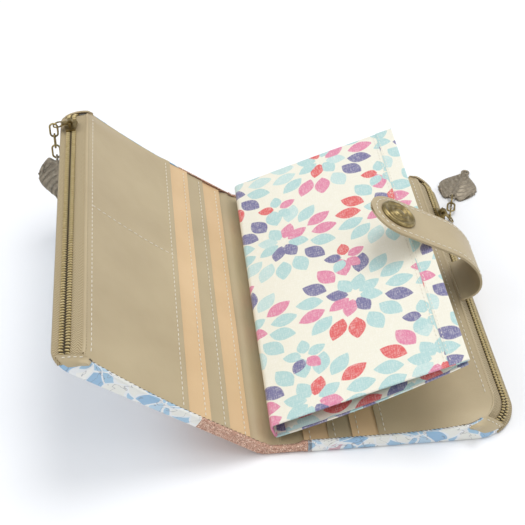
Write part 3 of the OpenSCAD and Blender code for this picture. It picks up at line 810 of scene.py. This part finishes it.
def on_zip_wall(side, at, drop):
    """The point on the cover's outer wall, a drop below the zip face's lower edge."""
    o, _, n = zip_station(side, at)
    reach = HEM + 0.0003
    return on_cover(side, o[0] + n[0] * reach, o[1] + n[1] * reach, -FACE_LOW - drop)


def tape(side, word, f0, f1):
    length = ZIP_LENGTH[side]

    def place(u, v):
        at = length * u
        on_straight = ZIP_TAIL[side][0] <= at <= length - ZIP_TAIL[side][1]
        f = f0 + ((f1 if on_straight else min(f1, 1.0)) - f0) * v
        if f > TAPE_EDGE:
            return on_zip_wall(side, at, 0.0002 + (f - TAPE_EDGE) * FACE_LINE), (at, f * FACE_LINE)
        return on_zip_face(side, at, f, -0.00045 + 0.00005 * sin(at * 90)), (at, f * FACE_LINE)

    mesh = formed(150, 10, place, on_zip_face(side, length / 2, 0.5, 0.2))
    ribbon = finished(f"{side}_tape_{word}", mesh, zip_tape, f"{side}_cover", [f"{side}_zip_tape_{word}"],
                      thick=0.0004, even=False)


def teeth(side):
    near_tail, far_tail = ZIP_TAIL[side]
    pitch, reach, bar, height = 0.00172, 0.00122, 0.00046, 0.0007
    mesh = bmesh.new()
    count = int((ZIP_LENGTH[side] - near_tail - far_tail) / pitch)
    for i in range(count):
        for row in (-1, 1):
            at = near_tail + (i + (0.5 if row > 0 else 0)) * pitch
            ends = (TEETH_MID + row * (ROW_GAP + step) / FACE_LINE for step in (0, 2 * reach))
            near, far = (on_zip_face(side, at + ROW_GAP * row, f, 0.0002) for f in ends)
            side_way = (far - near).normalized()
            here, beyond = (on_zip_face(side, spot, TEETH_MID, 0) for spot in (at, at + 0.001))
            along = (beyond - here).normalized()
            out = side_way.cross(along).normalized()
            turn = Matrix((side_way, along, out)).transposed().to_4x4()
            bmesh.ops.create_uvsphere(mesh, u_segments=8, v_segments=6, radius=1,
                                      matrix=Matrix.Translation((near + far) / 2) @ turn
                                      @ Matrix.Diagonal((reach, bar, height, 1)))
    bmesh.ops.recalc_face_normals(mesh, faces=mesh.faces)
    finished(f"{side}_zip_coil", mesh, zip_brass, f"{side}_cover", [f"{side}_zip_teeth"])
    last = ZIP_LENGTH[side] - far_tail

    # A dark strip just under the middle of the coil, between its two rows of teeth: a sheet of painted
    # shade.
    def shade_strip_place(u, v):
        at = near_tail + (last - near_tail) * u
        turn = pi * (v - 0.5)
        f = TEETH_MID + 0.0023 / FACE_LINE * sin(turn)
        return on_zip_face(side, at, f, -0.0002 + 0.00035 * cos(turn)), (at, v)

    mesh = formed(150, 6, shade_strip_place, on_zip_face(side, last / 2, TEETH_MID, 0.2))
    finished(f"{side}_zip_shade_strip", mesh, coil_shade, f"{side}_cover", thick=0.0003)


def end_tab(side, word):
    near_tail, far_tail = ZIP_TAIL[side]
    length = ZIP_LENGTH[side]
    first, last = (near_tail + 0.0035, 0.0) if word == "near" else (length - far_tail - 0.0035, length)

    def place(u, v):
        at = first + (last - first) * u
        f = -0.10 + 1.16 * v
        swell = sin(pi * max(0.0, min(1.0, v))) ** 0.6
        fold = 0.0004 * exp(-(u / 0.08) ** 2) - 0.0012 * smooth_share((u - 0.8) / 0.2)
        if word == "near":
            fold += 0.0034 * exp(-((f - 0.2) / 0.15) ** 2) * smooth_share((u - 0.4) / 0.6)
        return on_zip_face(side, at, f, 0.0002 + 0.0013 * swell + fold), (at, f * FACE_LINE)

    mesh = formed(20, 16, place, on_zip_face(side, length / 2, 0.5, 0.2))
    finished(f"{side}_zip_tab_{word}", mesh, taupe_leather, f"{side}_cover", [f"{side}_zip_end_tabs"],
             thick=0.0008, rounded=0.0003, even=False)
    mesh = bmesh.new()
    at = first + (last - first) * 0.16
    shares = [i / 12 for i in range(13)]
    seam = [on_zip_face(side, at, 0.04 + 0.92 * t, 0.0004 + 0.0013 * sin(pi * (0.12 + 0.75 * t)) ** 0.6)
            for t in shares]
    stitches(mesh, seam, pitch=0.0024, length=0.0016)
    finished(f"{side}_tab_stitches_{word}", mesh, cream_thread, f"{side}_cover")


for side in SIDES:
    tape(side, "inner", -0.04, 0.672)
    tape(side, "outer", 0.708, 1.17)
    teeth(side)
    for word in ("near", "far"):
        end_tab(side, word)


# Sliders, pull tabs and chains: cast and bent brass with an antique finish, dark in the
# hollows and rubbed bright where they are handled.
antique_brass = Finish("antique_brass", "antique_brass", 0.34, Metallic=0.85)
brass_wear = antique_brass.noise(260.0, 3.0)
antique_brass.tones(brass_wear, (0.3, (118, 102, 66)), (0.55, (154, 136, 92)), (0.75, (186, 168, 120)))
antique_brass.rough(0.26, 0.42, brass_wear)
antique_brass.raise_by(antique_brass.noise(1500.0, 2.0), 0.00002)
for side in SIDES:
    refinish(f"{side}_zip_slider", antique_brass)
    refinish(f"{side}_pull_tab", antique_brass)
for node in ("snap_cap", "snap_socket", "snap_stud", "snap_stud_back"):
    refinish(node, antique_brass)
JOINT_AT = {joint["name"]: Vector(joint["pos_m"]) for joint in frame["joints"] if joint["type"] == "hinge"}
LINK_WAY = {"left": Vector((0, 0, -1)), "right": Vector((cos(radians(74)), sin(radians(74)), 0))}
LINK_PITCH = 0.00625
LINK_LEN = 0.0084
LINK_R = 0.0019
LINK_GRIP = 0.00115
WIRE_R = 0.0005


def chain_link(side, k):
    """One oval of bent wire: odd links stand in the plane of the first, even ones across it."""
    way = LINK_WAY[side]
    level = Vector((0, 1, 0)) if side == "left" else Vector((-way.y, way.x, 0))
    aside = way.cross(level) if k % 2 else level
    start = JOINT_AT[f"{side}_link_1_swing"] + way * (LINK_PITCH * (k - 1) + LINK_R - LINK_GRIP)
    run = LINK_LEN - 2 * LINK_R - 2 * WIRE_R

    def place(u, v):
        turn, round_wire = 2 * pi * u, 2 * pi * v
        shift = run if cos(turn) > 0 else 0.0
        if abs(cos(turn)) < 0.02:
            shift = run / 2
        out = way * cos(turn) + aside * sin(turn)
        lift = way.cross(aside)
        middle = start + way * shift + out * LINK_R
        return middle + (out * cos(round_wire) + lift * sin(round_wire)) * WIRE_R, (u, v)

    mesh = formed(48, 10, place, closed=True)
    finished(f"{side}_wire_link_{k}", mesh, antique_brass, f"{side}_link_{k}", [f"{side}_chain_link_{k}"])


for side in SIDES:
    for k in (1, 2, 3):
        chain_link(side, k)


# Leaf charms: flat pewter castings, heart-shaped, with a midrib, side veins and a ring
# at the tip, hung from the last link of each chain.
pewter = Finish("pewter_cast", "pewter", 0.5, Metallic=0.6)
pewter_wear = pewter.noise(600.0, 4.0)
pewter.tones(pewter_wear, (0.3, (136, 125, 109)), (0.55, (156, 145, 127)), (0.75, (176, 165, 146)))
pewter.rough(0.35, 0.6, pewter_wear)
pewter.raise_by(pewter.noise(1200.0, 2.0), 0.00002)
CHARM_LEN = 0.0225
CHARM_FROM = 0.0040
CHARM_HALF = 0.0103
CHARM_RING = 0.0017
CHARM_WAY = Vector((cos(radians(62)), sin(radians(62)), 0))
CHARM_LOW = {"left": -0.0006, "right": -0.0021}


def on_charm(side, along, across, out):
    """The point so far along, across and out of a leaf, from where it hangs on its chain."""
    hung = JOINT_AT[f"{side}_charm_swing"]
    if side == "left":
        return hung + Vector((across, -out, -along))
    aside = Vector((-CHARM_WAY.y, CHARM_WAY.x, 0))
    return hung + CHARM_WAY * along + aside * across + Vector((0, 0, out))


def leaf_charm(side):
    base = CHARM_LOW[side] + 0.0008

    def place(u, v):
        across = 2 * u - 1
        half = 0.0011 + (CHARM_HALF - 0.0011) * sin(pi * (0.30 + 0.70 * v)) ** 1.15
        lobe = 0.0036 * sin(pi * min(1.0, abs(across) * 1.05)) ** 0.8 * (1 - v) ** 2
        stem = exp(-(across / 0.10) ** 2) * (1 - v) ** 6
        along = CHARM_FROM + CHARM_LEN * v - lobe - 0.0014 * stem + 0.0034 * abs(across) ** 6 * (1 - v) ** 2
        vein = cos((v * 1.1 - 0.38 * abs(across)) * 2 * pi * 6)
        groove = -0.0009 * (0.5 + 0.5 * vein) ** 4 * (abs(across) > 0.08)
        groove *= (1 - across ** 8) * (1 - (2 * v - 1) ** 8)
        rib = 0.0005 * exp(-(across / 0.08) ** 2)
        dome = 0.0008 * (1 - across * across) * sin(pi * (0.15 + 0.7 * v))
        return on_charm(side, along, across * half, base + groove + rib + dome - base * stem), (0, 0)

    mesh = formed(40, 64, place, on_charm(side, 0.012, 0, 0.5))
    finished(f"{side}_leaf", mesh, pewter, f"{side}_charm", [f"{side}_leaf_charm"], thick=0.0011, even=False)
    for at, wire, word in ((CHARM_FROM + CHARM_LEN + 0.0012, 0.0007, "tip"), (0.00055, 0.0005, "eye")):
        mesh = bmesh.new()
        bmesh.ops.create_circle(mesh, segments=10, radius=wire, matrix=Matrix.Translation((CHARM_RING, 0, 0))
                                @ Matrix.Rotation(pi / 2, 4, "X"))
        bmesh.ops.spin(mesh, geom=mesh.edges[:], cent=(0, 0, 0), axis=(0, 0, 1), angle=2 * pi, steps=28,
                       use_merge=True)
        for vert in mesh.verts:
            x, y, z = vert.co
            if word == "tip":
                vert.co = on_charm(side, at + x, y, CHARM_LOW[side] + 0.0004 + z)
            elif side == "right":
                vert.co = on_charm(side, at + x, y, z)
            else:
                vert.co = on_charm(side, at + x, z, y)
        bmesh.ops.recalc_face_normals(mesh, faces=mesh.faces)
        finished(f"{side}_leaf_{word}_ring", mesh, pewter, f"{side}_charm")


for side in SIDES:
    leaf_charm(side)


# Booklet: laminated cream cloth with a scattered petal print, folded round its back and
# hemmed with thread at the open edge; it holds two thin pocket sheets.
BOOK_FOLD = (-0.05915, 0.0048)
BOOK_HALF = 0.09
BOOK_W = 0.089
LEAF_T = 0.0009
BACK_H = 0.008
BOOK_ROLL = 0.0022
STRIP_LEAN = radians(110)
FRONT_SLOPE = radians(20.2)
BACK_SAG = 0.002
BOOK_TOP = (BOOK_FOLD[0] + BACK_H * cos(STRIP_LEAN), BOOK_FOLD[1] + BACK_H * sin(STRIP_LEAN))
FRONT_END = (BOOK_TOP[0] + BOOK_W * cos(FRONT_SLOPE), BOOK_TOP[1] + BOOK_W * sin(FRONT_SLOPE))
BACK_END = (FRONT_END[0], FRONT_END[1] - 0.0032)
BACK_SLOPE = atan2(BACK_END[1] - BOOK_FOLD[1], BACK_END[0] - BOOK_FOLD[0])
BACK_LEN = dist(BOOK_FOLD, BACK_END)

petal_cloth = Finish("petal_oilcloth", "oilcloth", 0.42, Coat_Weight=0.25, Coat_Roughness=0.3)
petal_at = petal_cloth.add("ShaderNodeSeparateXYZ", {0: petal_cloth.laid()})


def rosettes(finish, cell, shift, petals, inner, outer, width, turn):
    """Rings of pointed petals round the points of a brick lattice: how much, and which petal."""
    m = finish.maths
    y = m("ADD", m("DIVIDE", petal_at.outputs[1], cell), shift)
    row = m("FLOOR", y)
    even_x = m("ADD", m("DIVIDE", petal_at.outputs[0], cell), shift)
    x = m("ADD", even_x, m("MULTIPLY", m("MODULO", row, 2.0), 0.5))
    column = m("FLOOR", x)
    fx, fy = m("SUBTRACT", m("SUBTRACT", x, column), 0.5), m("SUBTRACT", m("SUBTRACT", y, row), 0.5)
    reach = m("SQRT", m("ADD", m("MULTIPLY", fx, fx), m("MULTIPLY", fy, fy)))
    around = m("MULTIPLY_ADD", m("ARCTAN2", fy, fx), petals / (2 * pi), turn + petals)
    which = m("FLOOR", around)
    aside = m("MULTIPLY", m("ABSOLUTE", m("SUBTRACT", m("SUBTRACT", around, which), 0.5)),
              m("MULTIPLY", reach, 2 * pi / petals))
    share = m("DIVIDE", m("SUBTRACT", reach, inner), outer - inner)
    inside = m("MAXIMUM", m("SINE", m("MULTIPLY", m("MINIMUM", m("MAXIMUM", share, 0.0), 1.0), pi)), 0.0)
    wide = m("MULTIPLY", m("POWER", inside, 0.85), width)
    amount = m("MINIMUM", m("MAXIMUM", m("DIVIDE", m("SUBTRACT", wide, aside), 0.006), 0.0), 1.0)
    spot = finish.add("ShaderNodeCombineXYZ", {0: column, 1: row, 2: m("MODULO", which, float(petals))})
    pick = finish.add("ShaderNodeTexWhiteNoise", {"Vector": spot.outputs[0]}, noise_dimensions="3D")
    return amount, pick.outputs[0]


PETAL_COLOURS = [(0.0, tint(176, 211, 209)), (0.38, tint(194, 220, 216)), (0.54, tint(222, 130, 162)),
                 (0.70, tint(222, 92, 92)), (0.82, tint(112, 108, 152)), (0.95, tint(176, 211, 209))]
petal_ground = tint(238, 234, 217)
petal_colour = petal_ground
for cell, shift, petals, inner, outer, width, turn in (
        (0.056, 0.0, 15, 0.265, 0.51, 0.076, 0.5), (0.056, 0.0, 8, 0.05, 0.25, 0.070, 0.0),
        (0.056, 0.5, 5, 0.03, 0.19, 0.060, 0.25)):
    amount, pick = rosettes(petal_cloth, cell, shift, petals, inner, outer, width, turn)
    petal_colour = petal_cloth.mix(amount, petal_colour, petal_cloth.ramp(pick, PETAL_COLOURS, "CONSTANT"))
thread_streaks = petal_cloth.noise(1.0, 2.0, petal_cloth.stretched((260.0, 2600.0, 1.0), petal_cloth.laid()))
cross_streaks = petal_cloth.noise(1.0, 2.0, petal_cloth.stretched((2600.0, 260.0, 1.0), petal_cloth.laid()))
streaks = petal_cloth.maths("MULTIPLY", thread_streaks, cross_streaks)
worn = petal_cloth.ramp(streaks, [(0.22, (0, 0, 0, 1)), (0.36, (0.34, 0.34, 0.34, 1))])
petal_cloth.paint(petal_cloth.mix(worn, petal_colour, tint(250, 248, 240)))
woven(petal_cloth, 0.0005, 0.00003)


def ahead(slope, length):
    return length * cos(slope), length * sin(slope)


def front_line(cut):
    """The outer line of the folded back and the front leaf, from the lower fold; and its way out."""
    rise = BACK_H - BOOK_ROLL
    bend = BOOK_ROLL * pi / 2
    if cut < rise:
        dx, dz = ahead(STRIP_LEAN, cut)
        return BOOK_FOLD[0] + dx, BOOK_FOLD[1] + dz, STRIP_LEAN + pi / 2
    if cut < rise + bend:
        angle = STRIP_LEAN + pi / 2 - (cut - rise) / BOOK_ROLL
        cx = BOOK_TOP[0] + BOOK_ROLL * (cos(FRONT_SLOPE) - cos(STRIP_LEAN))
        cz = BOOK_TOP[1] + BOOK_ROLL * (sin(FRONT_SLOPE) - sin(STRIP_LEAN))
        return cx + BOOK_ROLL * cos(angle), cz + BOOK_ROLL * sin(angle), angle
    dx, dz = ahead(FRONT_SLOPE, BOOK_ROLL + cut - rise - bend)
    return BOOK_TOP[0] + dx, BOOK_TOP[1] + dz, FRONT_SLOPE + pi / 2


FRONT_CUT = BACK_H - BOOK_ROLL + BOOK_ROLL * pi / 2 + BOOK_W - BOOK_ROLL


def on_front(cut, y, out):
    x, z, way = front_line(cut)
    share = max(0.0, min(1.0, (cut - 0.012) / (FRONT_CUT - 0.012)))
    bow = 0.0006 * sin(pi * share) + 0.0003 * sin(y * 40 + 2) * sin(pi * share)
    return Vector((x + (out + bow) * cos(way), y, z + (out + bow) * sin(way)))


def front_leaf():
    first = 0.00135

    def place(u, v):
        cut = first + (FRONT_CUT - first) * (0.35 * u + 0.65 * u * u)
        y = (2 * v - 1) * BOOK_HALF
        return on_front(cut, y, 0), (cut, y)

    mesh = formed(70, 60, place, (-0.06, 0, 0.5))
    return finished("booklet_front_cover", mesh, petal_cloth, "booklet_front",
                    ["booklet_front_leaf", "booklet_fold_strip"], thick=0.0008, rounded=0.0002)


def back_point(share, y, out):
    x = BOOK_FOLD[0] + share * (BACK_END[0] - BOOK_FOLD[0])
    z = BOOK_FOLD[1] + share * (BACK_END[1] - BOOK_FOLD[1])
    lift = out - BACK_SAG * 4 * share * (1 - share)
    return Vector((x - lift * sin(BACK_SLOPE), y, z + lift * cos(BACK_SLOPE)))


def back_leaf():
    def place(u, v):
        y = (2 * v - 1) * BOOK_HALF
        share = 0.006 + 0.994 * u
        return back_point(share, y, 0), (0.1 + share * BACK_LEN, y)

    mesh = formed(50, 50, place, (0.02, 0, -0.5))
    return finished("booklet_back_cover", mesh, petal_cloth, "booklet_back", ["booklet_back_leaf"],
                    thick=0.0008, rounded=0.0002)


def lower_fold():
    first = ahead(STRIP_LEAN, 0.0016)
    last = ahead(BACK_SLOPE, 0.0016)

    def place(u, v):
        y = (2 * v - 1) * (BOOK_HALF - 0.0001)
        w = 1 - u
        x = BOOK_FOLD[0] + w * w * first[0] + 0.15 * 2 * u * w * (first[0] + last[0]) + u * u * last[0]
        z = BOOK_FOLD[1] + w * w * first[1] + 0.15 * 2 * u * w * (first[1] + last[1]) + u * u * last[1]
        return Vector((x, y, z)), (0.003 * u, y)

    mesh = formed(10, 40, place, (-0.1, 0, -0.05))
    start = (BOOK_FOLD[0] + first[0], 0, BOOK_FOLD[1] + first[1])
    end = (BOOK_FOLD[0] + last[0], 0, BOOK_FOLD[1] + last[1])
    return finished("booklet_lower_fold", mesh, petal_cloth, ("booklet_front", "booklet_back", start, end),
                    thick=0.0006)


POCKET_HALF = BOOK_HALF - 0.0008


def pocket_sheets():
    def front(u, v):
        y = (2 * v - 1) * POCKET_HALF
        cut = FRONT_CUT - BOOK_W * 0.95 + BOOK_W * 0.9 * u
        gape = 0.0010 * smooth_share((u - 0.85) / 0.15) * (0.5 + 0.5 * sin(y * 50))
        return on_front(cut, y, -LEAF_T - gape), (0.2 + cut, y)

    def back(u, v):
        y = (2 * v - 1) * POCKET_HALF
        share = 0.06 + 0.88 * u
        gape = 0.0008 * smooth_share((u - 0.85) / 0.15) * (0.5 + 0.5 * sin(y * 44 + 2))
        return back_point(share, y, LEAF_T + gape), (0.3 + share * BACK_LEN, y)

    for place, up, leaf, width in ((front, (0.02, 0, -0.5), "booklet_front", BOOK_W * 0.9),
                                   (back, (-0.02, 0, 0.5), "booklet_back", BACK_LEN * 0.88)):
        mesh = formed(40, 40, place, up)
        sheet = finished(f"{leaf}_sheet", mesh, petal_cloth, leaf, [f"{leaf}_pocket"], thick=0.0003)


def hem():
    """The cloth's turned edge along the open side, with its line of stitches."""
    wide = 0.0088

    def place(u, v):
        y = (2 * v - 1) * (BOOK_HALF + 0.0001)
        cut = FRONT_CUT - wide + (wide + 0.0001) * u
        return on_front(cut, y, 0.0003), (0.031 + cut, y)

    mesh = formed(8, 60, place, (-0.06, 0, 0.5))
    turned = finished("booklet_hem", mesh, petal_cloth, "booklet_front", thick=0.0004, rounded=0.00015)
    mesh = bmesh.new()
    ends = BOOK_HALF - 0.002
    for shift, out in ((0.0011, 0.0003), (-0.0014, 0.0001)):
        seam = [on_front(FRONT_CUT - wide + shift, -ends + 2 * ends * i / 60, out) for i in range(61)]
        stitches(mesh, seam, pitch=0.0028, length=0.0019, width=0.0004)
    return turned, finished("booklet_stitches", mesh, cream_thread, "booklet_front", slot="oilcloth")


front_cloth = front_leaf()
back_cloth = back_leaf()
fold_cloth = lower_fold()
pocket_sheets()
hem()


# Strap: two layers of taupe leather, glued and topstitched, that come out of the right
# cover's rim, bend over in a loop and end in a round tongue that carries the snap.
STRAP_HALF = 0.014
STRAP_T = 0.0008
STRAP_SLOPE = radians(28)
TONGUE_WAY = (-cos(STRAP_SLOPE), sin(STRAP_SLOPE))
STRAP_ROOT = (FOLD["right"] + rim_s("right") + 0.0008, INNER_Z + RIM_RISE + 0.0004)
TONGUE_FROM = (STRAP_ROOT[0] - 0.0072, STRAP_ROOT[1] + 0.0282)
STRAP_BENDS = (STRAP_ROOT, (STRAP_ROOT[0] + 0.015, STRAP_ROOT[1] + 0.0024),
               (TONGUE_FROM[0] - 0.018 * TONGUE_WAY[0], TONGUE_FROM[1] - 0.018 * TONGUE_WAY[1]), TONGUE_FROM)
STRAIGHT = 0.0275


def strap_bend(u):
    w = 1 - u
    shares = (w ** 3, 3 * u * w * w, 3 * u * u * w, u ** 3)
    return [sum(k * p[c] for k, p in zip(shares, STRAP_BENDS)) for c in (0, 1)]


BEND_POINTS = [strap_bend(i / 60) for i in range(61)]
BEND_STEPS = [0.0]
for a, b in zip(BEND_POINTS, BEND_POINTS[1:]):
    BEND_STEPS.append(BEND_STEPS[-1] + dist(a, b))
STRAP_LEN = BEND_STEPS[-1] + STRAIGHT + STRAP_HALF
TONGUE_MID = STRAP_LEN - STRAP_HALF


def on_strap(along, across, out):
    if along >= BEND_STEPS[-1]:
        past = along - BEND_STEPS[-1]
        x, z, way = TONGUE_FROM[0] + past * TONGUE_WAY[0], TONGUE_FROM[1] + past * TONGUE_WAY[1], TONGUE_WAY
    else:
        k = max(i for i in range(60) if BEND_STEPS[i] <= along)
        t = (along - BEND_STEPS[k]) / (BEND_STEPS[k + 1] - BEND_STEPS[k])
        x, z = (BEND_POINTS[k][c] + t * (BEND_POINTS[k + 1][c] - BEND_POINTS[k][c]) for c in (0, 1))
        ahead_k, behind_k = min(60, k + 2), max(0, k - 1)
        way = Vector((BEND_POINTS[ahead_k][0] - BEND_POINTS[behind_k][0],
                      BEND_POINTS[ahead_k][1] - BEND_POINTS[behind_k][1])).normalized()
    return Vector((x + out * way[1], across, z - out * way[0]))


def strap_half(along):
    past = along - TONGUE_MID
    return STRAP_HALF if past <= 0 else sqrt(max(0.0, STRAP_HALF * STRAP_HALF - past * past))


def strap_layer(name, out, towards, stands_for):
    def place(u, v):
        along = STRAP_LEN * sin(u * pi / 2) ** 0.9 * 0.99995
        across = (2 * v - 1) * strap_half(along)
        edge = 1 - 0.35 * abs(2 * v - 1) ** 8
        return on_strap(along, across, out * edge), (along, across)

    mesh = formed(110, 22, place, towards)
    layer = finished(name, mesh, taupe_leather, "strap", stands_for, thick=STRAP_T, rounded=0.0003)


strap_layer("strap_front", STRAP_T, (0.2, 0, 0.2), ["strap_face"])
strap_layer("strap_back", -STRAP_T, (0.02, 0, 0.02), ["strap_backing"])
mesh = bmesh.new()
SEAM_HALF = STRAP_HALF - 0.0026
SEAM_UP = STRAP_T + 0.00005
SEAM_FROM = 0.004
seam_run = [SEAM_FROM + (TONGUE_MID - SEAM_FROM) * i / 60 for i in range(61)]
for end in (-1, 1):
    stitches(mesh, [on_strap(along, end * SEAM_HALF, SEAM_UP) for along in seam_run])
turns = [radians(-88 + 176 * i / 24) for i in range(25)]
stitches(mesh, [on_strap(TONGUE_MID + SEAM_HALF * cos(a), SEAM_HALF * sin(a), SEAM_UP) for a in turns])
finished("strap_topstitching", mesh, cream_thread, "strap")


# The snap's cap: pressed brass with a rolled rim, a groove and two raised rings round
# a low boss, riveted through the strap's round end.
CAP_LINE = ((0.0, 0.0024), (0.0012, 0.0024), (0.0022, 0.0021), (0.0028, 0.0015), (0.0034, 0.0015),
            (0.0040, 0.0021), (0.0047, 0.0021), (0.0053, 0.0013), (0.0066, 0.0012), (0.0072, 0.0018),
            (0.0080, 0.0019), (0.0087, 0.0014), (0.0090, 0.0006), (0.0086, 0.0001))


def cap_point(u, v):
    (r, out), _ = through(CAP_LINE, min(v, 0.99999))
    turn = 2 * pi * u
    return on_strap(TONGUE_MID + r * cos(turn), r * sin(turn), STRAP_T + out), (u, v)


mesh = formed(64, 52, cap_point, on_strap(TONGUE_MID, 0, 0.5))
bmesh.ops.remove_doubles(mesh, verts=mesh.verts, dist=1e-6)
finished("snap_cap_face", mesh, antique_brass, "strap", ["snap_cap"])
